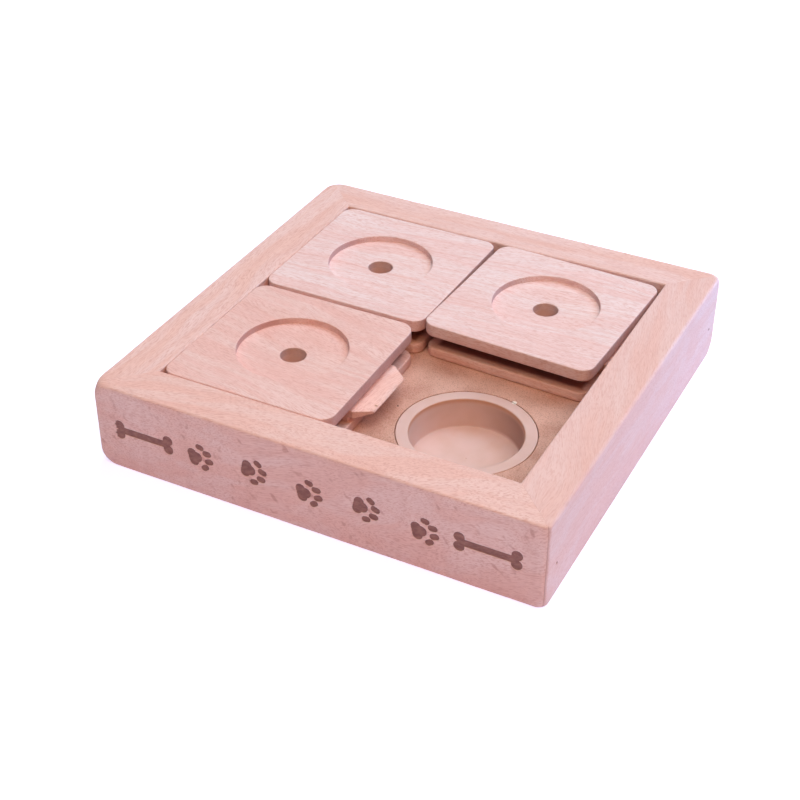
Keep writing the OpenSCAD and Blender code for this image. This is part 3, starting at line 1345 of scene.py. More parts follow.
    def _rail_point(self, side: Side, turn: Matrix, cut: Cut, top_r: float, spot: Spot) -> Vector:
        """One point of a rail, with its wear, its sanded corner, its mitre and its engraving.

        Args:
            side: The rail's side.
            turn: The turn from the front rail to this one.
            cut: The cut that the point lies on.
            top_r: The radius of the top arris there.
            spot: The point's inset and height in the section.

        Returns:
            The point, in the front rail's place.
        """
        inset, z = spot
        deepest = self.deepest
        point = cut.outer + cut.inward * min(inset, deepest)
        if inset > deepest:
            point = point.lerp(cut.inner, (inset - deepest) / (self.rail_w - deepest))
        point.z = z
        in_arris = inset < top_r and z > self.height - top_r
        in_foot = inset < self.bottom_r and z < self.bottom_r
        in_lip = inset > self.rail_w - self.inner_r and z > self.height - self.inner_r
        if in_arris or in_foot or in_lip:
            place = turn @ point
            rub = self.wear * (0.5 + 0.5 * waver(place, self.wear_length, 3.0))
            rub += self.tooth * waver(place, self.tooth_length, 4.0)
            rub = 0.7 * max(0.0, rub) * min(1.0, top_r)
            point += cut.inward * rub * (-1 if in_lip else 1)
            point.z += rub if in_foot else -rub
        corner = self.corners[side if point.x > 0 else side.beside(-1)]
        point = self._sanded(point, inset, corner.radius(self.corner_r, point.z, self.height))
        on_seam = cut.to_mitre < 0.05
        if on_seam and inset < 0.3:
            point += cut.inward * corner.seam
        if on_seam and z > self.height - 0.01:
            point.z -= corner.seam * 0.3
        if side is Side.FRONT and inset == 0.0:
            point += cut.inward * self.ornament.depth_at(point)
        return point

    def _sanded(self, point: Vector, inset: float, radius: float) -> Vector:
        """A point of the front rail after its corner is rounded.

        Args:
            point: The point.
            inset: How far it is inside the outline.
            radius: The corner's radius seen from above, at the point's height.

        Returns:
            The point, drawn in where it lies outside the round corner.
        """
        centre = Vector((math.copysign(self.side / 2 - radius, point.x), radius - self.side / 2))
        spoke = point.xy - centre
        pull = spoke.length + inset - radius
        if spoke.x * point.x <= 0 or spoke.y >= 0 or pull <= 0:
            return point
        pull *= 1 - ease((inset - self.sanded_from) / (self.sanded_share * self.rail_w))
        place = centre + spoke.normalized() * (spoke.length - pull)
        return Vector((place.x, place.y, point.z))

    def _bore_pins(self, made: bpy.types.Object, sign: int) -> None:
        """Drills the two pin holes into a side rail's outer face.

        Args:
            made: The rail.
            sign: 1 for the right rail, -1 for the left one.
        """
        low, high = (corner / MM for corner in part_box("corner_pins"))
        height = (low.z + high.z) / 2
        across = (high.y - low.y) / 2 - self.pin_r
        drill = Skin()
        for y in (-across, across):
            ring = arc((y, height), self.pin_r + self.pin_gap, 0, 360, 20)[:-1]
            ends = (high.x - 20, self.side / 2 + 1)
            drill.loft([[Vector((sign * x, py, pz)) for py, pz in ring] for x in ends])
        self.carve(made, drill.build("drill"))

    @staticmethod
    def carve(made: bpy.types.Object, tool: bpy.types.Object) -> None:
        """Cuts a tool's shape out of a piece and removes the tool.

        Args:
            made: The piece.
            tool: The tool.
        """
        cutter = made.modifiers.new("cut", "BOOLEAN")
        cutter.operation, cutter.solver, cutter.object = "DIFFERENCE", "EXACT", tool
        bpy.context.view_layer.update()
        evaluated = made.evaluated_get(bpy.context.evaluated_depsgraph_get())
        carved = bpy.data.meshes.new_from_object(evaluated)
        made.modifiers.clear()
        made.data = carved
        carved.set_sharp_from_angle(angle=math.radians(CREASE_DEG))
        bpy.data.objects.remove(tool)


@dataclass(frozen=True)
class KeeperStrip(Piece):
    """A lath in a rail's groove, with a tapered edge that reaches into the gap of a tile."""

    side: Side
    tray: Tray
    tip_half: float = 1.8
    face_gap: float = 0.925
    tip_r: float = 0.25
    rub: float = 0.12
    rub_length: float = 11.0
    steps: int = 40

    def build(self, finish: Beech) -> bpy.types.Object:
        """Builds and dresses the strip from its node's box.

        Args:
            finish: Its wood.

        Returns:
            The strip.
        """
        node = "keeper_strip_" + self.side.name.lower()
        low, high = (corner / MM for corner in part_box(node))
        along, across = (0, 1) if self.side is Side.FRONT else (1, 0)
        face = -(self.tray.side / 2 - self.tray.rail_w)
        rings = []
        for i in range(self.steps + 1):
            at = low[along] + (high[along] - low[along]) * i / self.steps
            ring = []
            for x, z in self._section(low[across], face, high[across], low.z, high.z):
                point = Vector((at, x, z)) if self.side is Side.FRONT else Vector((x, at, z))
                if x > face:
                    point[across] -= self.rub * (1 + waver(point, self.rub_length, 8.0))
                ring.append(point)
            rings.append(ring)
        skin = Skin()
        skin.loft(rings)
        return self.dress(skin.build(node + "_beech"), finish, "tray", node)

    def _section(self, back: float, face: float, tip: float, low: float, high: float) -> list[Spot]:
        """The strip's section, as place across the rail and height.

        Args:
            back: Where it lies in the groove.
            face: Where it leaves the rail's inner face.
            tip: Where its edge ends.
            low: Its underside.
            high: Its upper side.

        Returns:
            The section's points.
        """
        middle = (low + high) / 2
        under = [(back, low), (face, low), (face, low + self.face_gap)]
        under += [(tip - self.tip_r, middle - self.tip_half)]
        under += [(tip, middle - self.tip_half + self.tip_r)]
        return under + [(x, 2 * middle - z) for x, z in reversed(under)]


# ---- floor and cups ----------------------------------------------------------------------


@dataclass(frozen=True)
class FloorPanel(Piece):
    """The board under the tiles, with a stepped seat for each cup."""

    cup_place: float
    low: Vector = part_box("floor_panel")[0] / MM
    high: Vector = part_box("floor_panel")[1] / MM
    seat_r: float = 27.8
    seat_depth: float = 2.0
    bowl_r: float = 24.3
    ease_r: float = 0.15
    per_side: int = 32

    def build(self, finish: FibreBoard) -> bpy.types.Object:
        """Builds and dresses the panel.

        Args:
            finish: Its board.

        Returns:
            The panel.
        """
        skin = Skin()
        for cell_x in (-1, 1):
            for cell_y in (-1, 1):
                self._cell(skin, cell_x, cell_y)
        made = skin.build("floor_panel_board")
        self._weld(made)
        return self.dress(made, finish, "tray", "floor_panel")

    def _cell(self, skin: Skin, cell_x: int, cell_y: int) -> None:
        """Adds the quarter of the panel round one cup.

        Args:
            skin: The panel's skin.
            cell_x: -1 for a left quarter, 1 for a right one.
            cell_y: -1 for a front quarter, 1 for a back one.
        """
        centre = Vector((cell_x * self.cup_place, cell_y * self.cup_place, 0))
        edge = self._edge(cell_x, cell_y)
        top, bottom, step = self.high.z, self.low.z, self.high.z - self.seat_depth

        def circle(radius: float, z: float) -> Ring:
            """A ring round the cup's axis."""
            up = Vector((0, 0, z))
            return [centre + (p - centre).normalized() * radius + up for p in edge]

        outline = [p + Vector((0, 0, top)) for p in edge]
        rim = circle(self.seat_r + self.ease_r, top)
        rings = [outline, between(outline, rim, 0.5), between(outline, rim, 0.97), rim]
        rings += [circle(self.seat_r, top - self.ease_r), circle(self.seat_r, step)]
        rings += [circle(self.bowl_r, step), circle(self.bowl_r, bottom)]
        rings += [[p + Vector((0, 0, bottom)) for p in edge]]
        first, last = skin.join(rings)
        for i in range(len(edge)):
            k = (i + 1) % len(edge)
            if self._on_one_side(edge[i], edge[k]):
                skin.faces.append((first + k, first + i, last + i, last + k))

    def _edge(self, cell_x: int, cell_y: int) -> Ring:
        """Points round the square edge of a quarter of the panel.

        Args:
            cell_x: -1 for a left quarter, 1 for a right one.
            cell_y: -1 for a front quarter, 1 for a back one.

        Returns:
            The points, at height 0, from the panel's middle on.
        """
        reach_x = self.high.x if cell_x > 0 else self.low.x
        reach_y = self.high.y if cell_y > 0 else self.low.y
        turns = ((0, 0), (1, 0), (1, 1), (0, 1), (0, 0))
        corners = [Vector((x * reach_x, y * reach_y, 0)) for x, y in turns]
        shares = [i / self.per_side for i in range(self.per_side)]
        return [a.lerp(b, share) for a, b in zip(corners, corners[1:]) for share in shares]

    def _on_one_side(self, a: Vector, b: Vector) -> bool:
        """Whether two points lie on the same side of the panel's outer edge."""
        on_x = min(abs(a.x), abs(b.x)) > self.high.x - 0.001
        return on_x or min(abs(a.y), abs(b.y)) > self.high.y - 0.001

    @staticmethod
    def _weld(made: bpy.types.Object) -> None:
        """Joins the quarters where they meet, and turns all faces outward.

        Args:
            made: The panel.
        """
        shape = bmesh.new()
        shape.from_mesh(made.data)
        bmesh.ops.remove_doubles(shape, verts=shape.verts, dist=0.00001)
        bmesh.ops.recalc_face_normals(shape, faces=shape.faces)
        shape.to_mesh(made.data)
        shape.free()
        made.data.set_sharp_from_angle(angle=math.radians(CREASE_DEG))


@dataclass(frozen=True)
class Cup(Piece):
    """A round food cup whose rim lies flush with the floor."""

    node: str
    mouth_d: float = 45.0
    taper: float = 1.0
    wall: float = 1.5
    rim_t: float = 2.0
    depth: float = 12.8
    lip_r: float = 0.6
    edge_r: float = 0.35
    gate: tuple[Spot, ...] = ((0.05, -0.18), (0.3, -0.16), (0.45, 0.05), (0.8, 0.0))
    segments: int = 144

    def build(self, finish: CupPlastic) -> bpy.types.Object:
        """Builds and dresses the cup, turned round its node's axis.

        Args:
            finish: Its plastic.

        Returns:
            The cup.
        """
        low, high = (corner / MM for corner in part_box(self.node))
        centre = Vector(((low.x + high.x) / 2, (low.y + high.y) / 2, 0))
        turns = [2 * math.pi * i / self.segments for i in range(self.segments)]
        skin = Skin()
        skin.loft(
            [
                [centre + Vector((radius * math.cos(a), radius * math.sin(a), z)) for a in turns]
                for radius, z in self._section(high.z, (high.x - low.x) / 2)
            ]
        )
        made = skin.build(self.node + "_moulded", crease_deg=40)
        return self.dress(made, finish, "tray", self.node)

    def _section(self, top: float, rim_r: float) -> list[Spot]:
        """Half the section, from the gate mark on the inside floor round to the foot.

        Args:
            top: Height of the rim's upper side.
            rim_r: The rim's radius.

        Returns:
            The section's points, as radius and height.
        """
        mouth, floor, edge = self.mouth_d / 2, top - self.depth, self.edge_r
        foot = mouth - self.taper
        knee = foot - self.lip_r
        under, bottom = top - self.rim_t, floor - self.wall
        points = [(radius, floor + rise) for radius, rise in self.gate]
        points += [(knee * i / 6, floor) for i in range(1, 6)]
        points += [(knee - 0.3, floor)]
        points += arc((knee, floor + self.lip_r), self.lip_r, 270, 356, 8)
        points += [(foot + self.taper * s, floor + self.depth * s) for s in (0.3, 0.55, 0.8)]
        points += arc((mouth + self.lip_r, top - self.lip_r), self.lip_r, 180, 90, 8)
        points += [(mouth + self.lip_r + 0.3, top), (rim_r - edge - 0.4, top)]
        points += arc((rim_r - edge, top - edge), edge, 90, 0, 4)
        points += [(rim_r, under + 0.2), (rim_r - 0.2, under)]
        points += [(mouth + self.wall + 0.1, under), (mouth + self.wall, under - 0.1)]
        points += [(foot + self.wall, bottom + 0.5), (foot + self.wall - 0.5, bottom)]
        return points + [(8.0, bottom), (0.05, bottom)]


# ---- tiles -------------------------------------------------------------------------------


@dataclass(frozen=True)
class Tile(Piece):
    """One sliding tile: two plates with a lath and a block between them.

    The tile is built round its own middle and then set in the tray, so a tile that has turned
    in its cell has the same shape as the others. Its skew, its shifts and the places of its
    recess and hole are what hand work leaves. A tongue's upper side falls and its underside rises
    towards the tip.
    """

    cell: str
    turn_deg: float = 0.0
    side: float = 74.8
    corner_rs: tuple[float, float, float, float] = (5.6, 5.6, 5.6, 5.6)
    edge_r: float = 0.45
    under_r: float = 1.3
    base_inset: float = 1.0
    base_edge_r: float = 0.6
    base_foot_r: float = 0.8
    base_shift: Spot = (0.0, 0.0)
    skew: Spot = (0.0, 0.0)
    shift: Spot = (0.0, 0.0)
    recess_r: float = 22.5
    recess_depth: float = 2.7
    recess_edge_r: float = 0.3
    recess_at: Spot = (0.0, 0.0)
    hole_r: float = 5.25
    hole_edge_r: float = 0.35
    hole_at: Spot = (0.0, 0.0)
    tongue_w: float = 35.6
    tongue_reach: float = 6.8
    tongue_t: float = 3.4
    tongue_drop: float = 0.9
    tongue_fall: float = 0.9
    tongue_rise: float = 1.5
    slant_deg: float = 38.0
    tongue_shift: float = 1.5
    setback: float = 2.1
    soft: float = 0.22
    rub: float = 0.14
    rub_length: float = 13.0
    tooth: float = 0.03
    tooth_length: float = 2.6
    chatter: float = 0.012
    seed: float = 1.0

    def node(self, part: str) -> str:
        """The name of one of the tile's CAD nodes."""
        return f"tile_{self.cell}_{part}"

    def _heights(self, part: str) -> Spot:
        """The lowest and highest place of a part, above the tile's underside.

        Args:
            part: The part of the node's name after the cell.

        Returns:
            The two heights.
        """
        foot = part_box(self.node("base"))[0].z
        low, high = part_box(self.node(part))
        return (low.z - foot) / MM, (high.z - foot) / MM

    def _place(self) -> Matrix:
        """Where the tile stands in the tray, in millimetres.

        Returns:
            The turn in its cell and the move to it.
        """
        low, high = (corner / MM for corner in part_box(self.node("top")))
        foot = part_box(self.node("base"))[0].z / MM
        middle = (low + high) / 2
        move = Matrix.Translation((middle.x + self.shift[0], middle.y + self.shift[1], foot))
        return move @ Matrix.Rotation(math.radians(self.turn_deg), 4, "Z")

    def build(self, finishes: dict[str, Beech]) -> None:
        """Builds and dresses the tile's four pieces.

        Args:
            finishes: The wood of the top, the base, the lath and the block.
        """
        body = "tile_" + self.cell
        for part, make in (
            ("top", self._top),
            ("base", self._base),
            ("tongue_lath", self._lath),
            ("tongue_block", self._block),
        ):
            self.dress(make(), finishes[part], body, self.node(part))

    def _rubbed(self, ring: Ring) -> Ring:
        """Wears a ring of an arris back towards the tile's middle, here more and there less.

        Args:
            ring: The ring.

        Returns:
            The worn ring.
        """
        worn = []
        for p in ring:
            rub = self.rub * (0.5 + 0.5 * waver(p, self.rub_length, self.seed))
            rub += self.tooth * waver(p, self.tooth_length, self.seed)
            flat = Vector((p.x, p.y, 0))
            worn.append(p - flat.normalized() * max(0.0, rub))
        return worn

    def _plate(self, inset: float, heights: Spot, radii: Spot, hollow: bool) -> Skin:
        """A plate with round corners, a hole and, on the top plate, a round recess.

        Args:
            inset: How far it stands back from the tile's outline.
            heights: Heights of its lower and upper face.
            radii: Radii of its lower and upper edge.
            hollow: Whether it has the recess.

        Returns:
            The plate's skin, round the tile's middle.
        """
        corner_rs = tuple(corner_r - inset for corner_r in self.corner_rs)
        outline = SquareOutline(self.side / 2 - inset, corner_rs, self.skew)
        (low, high), (foot_r, r), brim = heights, radii, self.hole_edge_r
        drilled = high - self.recess_depth if hollow else high
        wall = (low, low + 0.3, (low + drilled) / 2, drilled - brim)
        rings = [self._drilled(outline, z) for z in wall]
        for out, z in arc((brim, drilled - brim), brim, 180, 90, 3):
            rings.append(outline.circle(self.hole_r + out, z, self.hole_at))
        if hollow:
            rings += self._recess(outline, drilled, high)
        inner, outer = rings[-1], outline.ring(r + SUPPORT, high)
        rings += [between(inner, outer, share) for share in (0.04, 0.25, 0.5, 0.75, 0.96, 1.0)]
        for back, z in arc((r, high - r), r, 90, 180, 6):
            rings.append(self._rubbed(outline.ring(back, z)))
        rings += [outline.ring(0.0, z) for z in (high - r - 0.3, low + foot_r + 0.3)]
        for back, z in arc((foot_r, low + foot_r), foot_r, 180, 270, 4):
            rings.append(outline.ring(back, z))
        under = outline.ring(foot_r + SUPPORT, low)
        bore = outline.circle(self.hole_r + 0.3, low, self.hole_at)
        rings += [under, between(under, bore, 0.5), bore]
        skin = Skin()
        skin.join(rings, wrap=True)
        return skin

    def _drilled(self, outline: SquareOutline, z: float) -> Ring:
        """A ring of the hole's wall, with the tool's chatter."""
        ring, marks = outline.circle(self.hole_r, z, self.hole_at), self.chatter
        return [p + Vector((p.x, p.y, 0)) * marks * waver(p, 1.1, self.seed) for p in ring]

    def _recess(self, outline: SquareOutline, floor: float, top: float) -> list[Ring]:
        """The recess: its floor with faint tool marks, its wall and its brim.

        Args:
            outline: The plate's outline.
            floor: Height of the recess's floor.
            top: Height of the plate's upper face.

        Returns:
            The rings from the hole to the plate's upper face.
        """
        rings = []
        inner, outer = self.hole_r + self.hole_edge_r, self.recess_r - 0.35
        edge, steps = self.recess_edge_r, 26
        for i in range(1, steps + 1):
            share = i / steps
            radius = inner + (outer - inner) * share
            mark = 0.025 * math.sin(radius * 4.1) + 0.02 * math.sin(radius * 1.3 + self.seed)
            centre = tuple(a + (b - a) * share for a, b in zip(self.hole_at, self.recess_at))
            rings.append(outline.circle(radius, floor + (mark if i < steps else 0.0), centre))
        for x, z in arc((self.recess_r - edge, floor + edge), edge, 270, 360, 3):
            rings.append(outline.circle(x, z, self.recess_at))
        rings.append(outline.circle(self.recess_r, (floor + top) / 2, self.recess_at))
        for out, z in arc((edge, top - edge), edge, 180, 90, 4):
            rings.append(outline.circle(self.recess_r + out, z, self.recess_at))
        return rings

    def _top(self) -> bpy.types.Object:
        """The top plate."""
        skin = self._plate(0.0, self._heights("top"), (self.under_r, self.edge_r), hollow=True)
        return skin.build(self.node("top") + "_beech", self._place())

    def _base(self) -> bpy.types.Object:
        """The base plate, which stands back a little from the top plate.

        Returns:
            The plate.
        """
        radii = (self.base_foot_r, self.base_edge_r)
        skin = self._plate(self.base_inset, self._heights("base"), radii, hollow=False)
        moved = Matrix.Translation((*self.base_shift, 0.0))
        return skin.build(self.node("base") + "_beech", self._place() @ moved)

    def _tongued(self, back: float, shift: float, heights: Spot) -> Skin:
        """A bar along X that ends in a tongue.

        Args:
            back: Where the bar begins.
            shift: How far it lies to the right of the middle, seen along its tongue.
            heights: Its lowest and highest place.

        Returns:
            The bar's skin.
        """
        (low, high), soft = heights, self.soft
        edge, root = self.side / 2, self.side / 2 - self.setback
        top = high - self.tongue_drop
        under = top - self.tongue_t
        step_in = self.tongue_reach * math.tan(math.radians(self.slant_deg))
        nose_r = (self.tongue_t - self.tongue_fall - self.tongue_rise) / 2

        def tongue(x: float) -> Trio:
            """The tongue's size at a place along it.

            Args:
                x: The place.

            Returns:
                Its half width, its underside and its upper side there.
            """
            share = max(0.0, (x - edge) / self.tongue_reach)
            half = self.tongue_w / 2 - step_in * share
            return half, under + self.tongue_rise * share, top - self.tongue_fall * share

        rings = []
        for x, small in ((back, soft), (back + soft, 0.0), (root - soft, 0.0), (root, soft)):
            half = self.tongue_w / 2 - small
            rings.append(self._bar_ring(x, half, (low + small, high - small), soft, shift))
        start, reach = root + 0.02, self.tongue_reach - nose_r
        places = [start + (edge - start) * i / 3 for i in range(3)]
        places += [edge + reach * i / 11 for i in range(12)]
        for x in places:
            half, lower, upper = tongue(x)
            rings.append(self._bar_ring(x, half, (lower, upper), soft, shift))
        mid = under + self.tongue_rise * (1 - nose_r / self.tongue_reach) + nose_r
        for i in range(1, 8):
            a = math.radians(90 * i / 8)
            x = edge + reach + nose_r * math.sin(a)
            half, _, upper = tongue(x)
            drop = nose_r * math.cos(a)
            rise = min(drop, upper - mid)
            ends = (mid - drop, mid + rise)
            rings.append(self._bar_ring(x, half, ends, min(soft, rise * 0.8), shift))
        skin = Skin()
        skin.loft(rings)
        return skin

    def _bar_ring(self, x: float, half: float, heights: Spot, soft: float, shift: float) -> Ring:
        """A rectangle with soft corners across the bar, divided finely along its width.

        Args:
            x: Place along the bar.
            half: Half the rectangle's width.
            heights: Its lowest and highest place.
            soft: The size of its corners' bevel.
            shift: How far it lies to the right of the middle.

        Returns:
            The rectangle's points, worn a little on the tongue.
        """
        steps, (low, high) = 18, heights
        across = [-(half - soft) + 2 * (half - soft) * i / steps for i in range(steps + 1)]
        lower = [(-half, low + soft)] + [(y, low) for y in across] + [(half, low + soft)]
        upper = [(half, high - soft)] + [(y, high) for y in reversed(across)]
        ring = []
        for y, z in lower + upper + [(-half, high - soft)]:
            point = Vector((x, y - shift, z))
            if x > self.side / 2 - 0.01:
                point.y += 0.16 * waver(point, 1.6, self.seed) * (abs(y) > half - 1)
                point.z += 0.05 * waver(point, 4.0, self.seed + 2)
            ring.append(point)
        return ring

    def _lath(self) -> bpy.types.Object:
        """The long lath with the right tongue, drilled for the scent hole.

        Returns:
            The lath.
        """
        low, high = self._heights("tongue_lath")
        back = -self.side / 2 + self.tongue_reach + 1.0
        skin = self._tongued(back, self.tongue_shift, (low, high))
        made = skin.build(self.node("tongue_lath") + "_beech", self._place())
        drill = Skin()
        ring = arc(self.hole_at, self.hole_r, 0, 360, 48)[:-1]
        drill.loft([[Vector((x, y, z)) for x, y in ring] for z in (low - 1, high + 1)])
        Tray.carve(made, drill.build("drill", self._place()))
        return made

    def _block(self) -> bpy.types.Object:
        """The short block with the back tongue.

        Returns:
            The block.
        """
        front = self.tongue_w / 2 - self.tongue_shift
        skin = self._tongued(front, 0.0, self._heights("tongue_block"))
        turn = Matrix.Rotation(math.radians(90), 4, "Z")
        return skin.build(self.node("tongue_block") + "_beech", self._place() @ turn)


# ---- studio ------------------------------------------------------------------------------


@dataclass(frozen=True)
class Lamp:
    """A soft round lamp that looks at the tray. Its place and size are in metres."""

    name: str
    place: Trio
    size: float
    power: float
    colour: Colour = (1.0, 1.0, 1.0)

    def build(self) -> None:
        """Makes the lamp."""
        data = bpy.data.lights.new(self.name, "AREA")
        data.shape, data.size = "DISK", self.size
        data.energy, data.color = self.power, self.colour
        made = bpy.data.objects.new(self.name, data)
        made.location = self.place
        made.rotation_euler = Vector(self.place).to_track_quat("Z", "Y").to_euler()
        bpy.context.scene.collection.objects.link(made)


@dataclass(frozen=True)
class Studio:
    """A white floor under soft lamps, and the camera. Lengths are in metres."""

    azimuth_deg: float = 27.044
    elevation_deg: float = 35.074
    roll_deg: float = -0.204
    distance: float = 0.6469
    target: Trio = (-0.0084, -0.00413, 0.0004)
    field_deg: float = 29.084
    film_mm: float = 36.0
    clip: Spot = (0.01, 20.0)
    sky: float = 0.02
    floor_reach: float = 3.0
    floor_colour: Colour = (0.82, 0.82, 0.82)
    floor_glow: Colour = (0.22, 0.23, 0.42)
    floor_shown: float = 0.35
    lamps: tuple[Lamp, ...] = (
        Lamp("overhead", (0.0, 0.0, 2.6), 2.2, 19.5, (0.97, 0.98, 1.05)),
        Lamp("back_top", (0.0, 1.4, 2.2), 1.8, 18.0),
        Lamp("front_top", (0.0, -1.25, 2.3), 1.6, 9.0, (1.0, 0.95, 0.75)),
        Lamp("front_right", (1.12, -1.08, 2.0), 1.6, 19.0, (1.0, 0.48, 0.18)),
        Lamp("back_right", (1.4, 1.2, 1.8), 1.4, 19.0, (0.6, 0.8, 1.0)),
        Lamp("right_low", (0.25, 0.3, 0.04), 0.15, 0.6, (0.25, 0.5, 0.95)),
    )

    def build(self) -> None:
        """Makes the camera, the world, the lamps and the floor."""
        self._camera()
        self._world()
        for lamp in self.lamps:
            lamp.build()
        self._floor()
        bpy.context.scene.view_settings.view_transform = "Standard"

    def _camera(self) -> None:
        """Sets the camera on its orbit round the target."""
        a, e = math.radians(self.azimuth_deg), math.radians(self.elevation_deg)
        back = Vector((math.sin(a) * math.cos(e), -math.cos(a) * math.cos(e), math.sin(e)))
        data = bpy.data.cameras.new("camera")
        data.sensor_width = self.film_mm
        data.lens = self.film_mm / 2 / math.tan(math.radians(self.field_deg / 2))
        data.clip_start, data.clip_end = self.clip
        made = bpy.data.objects.new("camera", data)
        right = (-back).cross(Vector((0, 0, 1))).normalized()
        up = right.cross(-back)
        turn = Matrix((right, up, back)).transposed().to_4x4()
        place = Matrix.Translation(Vector(self.target) + back * self.distance)
        made.matrix_world = place @ turn @ Matrix.Rotation(math.radians(-self.roll_deg), 4, "Z")
        bpy.context.scene.collection.objects.link(made)
        bpy.context.scene.camera = made

    def _world(self) -> None:
        """A dim sky that the camera sees as white, also in reflections and through the cups."""
        world = bpy.data.worlds.new("sky")
        g = Graph(world)
        rays = [
            g.node("ShaderNodeLightPath", output=f"Is {kind} Ray")
            for kind in ("Camera", "Glossy", "Transmission")
        ]
        seen = g.math("MAXIMUM", g.math("MAXIMUM", rays[0], rays[1]), rays[2])
        dim, white = (
            g.node("ShaderNodeBackground", {}, {"Color": (1, 1, 1, 1), "Strength": strength})
            for strength in (self.sky, 1.0)
        )
        shown = g.node("ShaderNodeMixShader", {}, {0: seen, 1: dim, 2: white})
        g.add("ShaderNodeOutputWorld", {}, {"Surface": shown})
        bpy.context.scene.world = world

    def _floor(self) -> None:
        """A wide white floor that keeps the tray's shadow."""
        skin = Skin()
        reach = self.floor_reach / MM
        turns = ((-1, -1), (1, -1), (1, 1), (-1, 1))
        skin.points = [Vector((x * reach, y * reach, 0)) for x, y in turns]
        skin.faces = [(0, 1, 2, 3)]
        made = skin.build("floor")
        g = Graph(bpy.data.materials.new("floor_white"))
        matt = g.node("ShaderNodeBsdfDiffuse", {}, {"Color": (*self.floor_colour, 1)})
        glow = g.node("ShaderNodeEmission", {}, {"Color": (*self.floor_glow, 1)})
        seen = g.node("ShaderNodeLightPath", output="Is Camera Ray") * self.floor_shown
        white = g.node("ShaderNodeEmission", {}, {"Color": (1, 1, 1, 1), "Strength": seen})
        lit = g.node("ShaderNodeAddShader", {}, {0: matt, 1: glow})
        shown = g.node("ShaderNodeAddShader", {}, {0: lit, 1: white})
        g.add("ShaderNodeOutputMaterial", {}, {"Surface": shown})
        made.data.materials.append(g.owner)


# ---- the whole ---------------------------------------------------------------------------


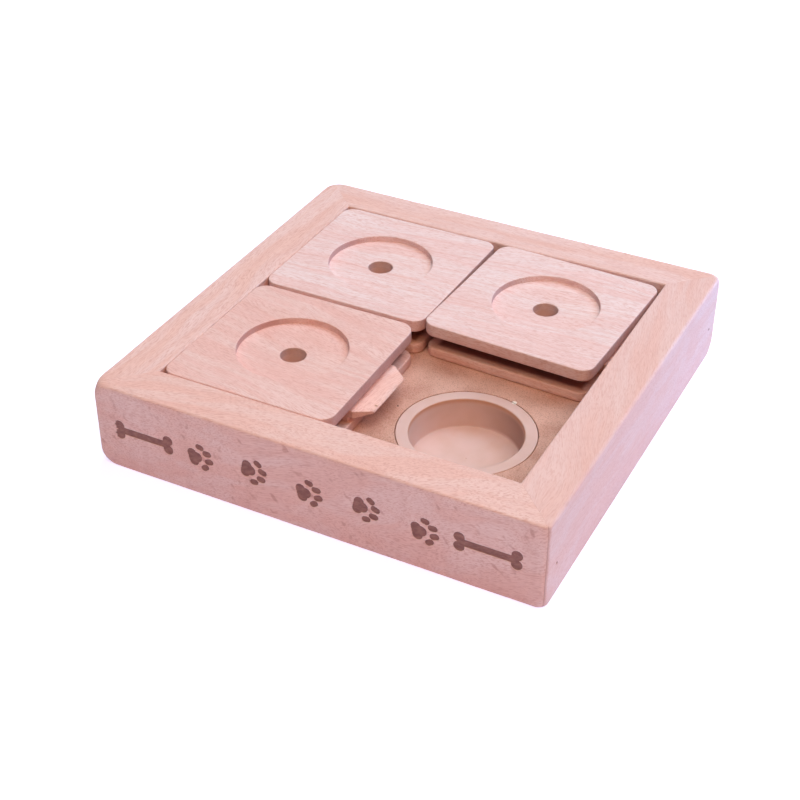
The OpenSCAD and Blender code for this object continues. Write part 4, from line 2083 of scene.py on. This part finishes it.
@dataclass(frozen=True)
class Timber:
    """The boards that the pieces are cut from."""

    tray: Tray
    rosy: tuple[Colour, Colour] = (linear(249, 219, 217), linear(245, 203, 199))
    pale: tuple[Colour, Colour] = (linear(253, 235, 239), linear(250, 219, 220))
    lath_run_out_deg: float = -8.0

    def rail(self, side: Side) -> Beech:
        """The board of one rail.

        Args:
            side: The rail's side.

        Returns:
            Its finish.
        """
        name, slot = "beech_rail_" + side.name.lower(), "beech_rail"
        boards = {
            Side.FRONT: Beech(
                name,
                slot,
                Grain.ALONG_X,
                14.0,
                12.0,
                (40, 12, 3),
                light=linear(249, 217, 213),
                warm=linear(246, 203, 195),
                dash_share=0.45,
                flecked=True,
                scorch=self.tray.ornament.scorch(-self.tray.side / 2),
            ),
            Side.RIGHT: Beech(
                name,
                slot,
                Grain.ALONG_Y,
                13.0,
                0.0,
                (300, 70, 20),
                light=linear(245, 214, 212),
                warm=linear(243, 203, 197),
                ring_contrast=0.16,
                dash_share=0.25,
            ),
            Side.BACK: Beech(name, slot, Grain.ALONG_X, 2.0, 0.0, (700, -50, 9)),
            Side.LEFT: Beech(name, slot, Grain.ALONG_Y, -2.0, 0.0, (-300, 30, 40)),
        }
        return boards[side]

    def strip(self, side: Side, start: float) -> Beech:
        """The wood of a keeper strip.

        Args:
            side: The strip's side.
            start: Where it is cut from.

        Returns:
            Its finish.
        """
        name = "beech_keeper_" + side.name.lower()
        cut_from = (start, 2 * start, 5)
        return Beech(name, "beech_lath", Grain.ALONG_Y, self.lath_run_out_deg, 0.0, cut_from)

    def tile(
        self,
        tile: Tile,
        run_out: float,
        start: float,
        shades: tuple[Colour, Colour],
        knots: tuple[Knot, ...] = (),
    ) -> dict[str, Beech]:
        """The wood of a tile's four pieces.

        Args:
            tile: The tile.
            run_out: The turn of the top plate's fibres from X, in degrees.
            start: Where the boards are cut from.
            shades: The top plate's light and warm wood.
            knots: Knots in the lath.

        Returns:
            The finish of each piece, by its name.
        """
        low, high = (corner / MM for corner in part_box(tile.node("top")))
        middle, gap_low = (low + high) / 2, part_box(tile.node("base"))[1].z / MM
        # The slot mark holds the painted shade between the plates and the painted light in the
        # bore.
        slot = Slot(middle.x, middle.y, gap_low, low.z, tile.turn_deg)
        top = Beech(
            "beech_top_" + tile.cell,
            "beech_top",
            run_out_deg=run_out,
            cut_from=(start, start / 3, 8),
            end_grain=0.45,
            light=shades[0],
            warm=shades[1],
            marks=(slot,),
        )
        base = Beech(
            "beech_base_" + tile.cell, "beech_base", cut_from=(start + 90, 7, 60), marks=(slot,)
        )
        lath = Beech(
            "beech_lath_" + tile.cell,
            "beech_lath",
            Grain.ALONG_Y,
            self.lath_run_out_deg,
            cut_from=(start, 17, 4),
            end_grain=0.15,
            marks=(*knots, slot),
        )
        return {"top": top, "base": base, "tongue_lath": lath, "tongue_block": lath}


def main() -> None:
    """Builds the studio, the tray, its floor, the cups and the tiles."""
    logging.basicConfig(level=logging.INFO, format="%(name)s %(message)s", force=True)
    tray = Tray()
    timber = Timber(tray)
    Studio().build()
    for side in Side:
        tray.rail(side, timber.rail(side))
    for side, start in ((Side.LEFT, 11.0), (Side.FRONT, 83.0)):
        KeeperStrip(side, tray).build(timber.strip(side, start))
    crumb = Crumb((45.8, -10.8, tray.board_z[1]))
    speck = Crumb((5.9, -34.0, 20.8), 0.5, 0.2, 0.9, linear(60, 36, 32))
    cup_low, cup_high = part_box("cup_front_right")
    FloorPanel((cup_low.x + cup_high.x) / 2 / MM).build(FibreBoard((speck, crumb)))
    for cell in ("front_left", "front_right", "back_left", "back_right"):
        Cup("cup_" + cell).build(CupPlastic((crumb,)))
    steel = PinSteel()
    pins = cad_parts["corner_pins"]
    pins.data.materials.clear()
    pins.data.materials.append(steel.material())

    front_left = Tile(
        "front_left",
        corner_rs=(7.0, 5.6, 5.6, 5.6),
        skew=(0.0, -0.8),
        base_shift=(0.7, 0.3),
        hole_at=(0.6, -0.7),
        seed=2.0,
    )
    back_left = Tile(
        "back_left", skew=(-0.5, 0.5), recess_at=(-0.9, -0.2), hole_at=(-0.8, -0.4), seed=5.0
    )
    back_right = Tile(
        "back_right",
        turn_deg=-2.4,
        skew=(-0.25, -0.25),
        shift=(-0.1, -0.32),
        base_shift=(-0.5, 0.9),
        recess_at=(0.45, 1.32),
        hole_at=(0.65, 0.82),
        seed=9.0,
    )
    knot = Knot((4.3, -49.4, 29.6), 0.8)
    front_left.build(timber.tile(front_left, -9.0, 25.0, timber.rosy, (knot,)))
    back_left.build(timber.tile(back_left, 2.0, 410.0, timber.pale))
    back_right.build(timber.tile(back_right, 4.0, 910.0, timber.pale))


if __name__ == "__main__":
    main()
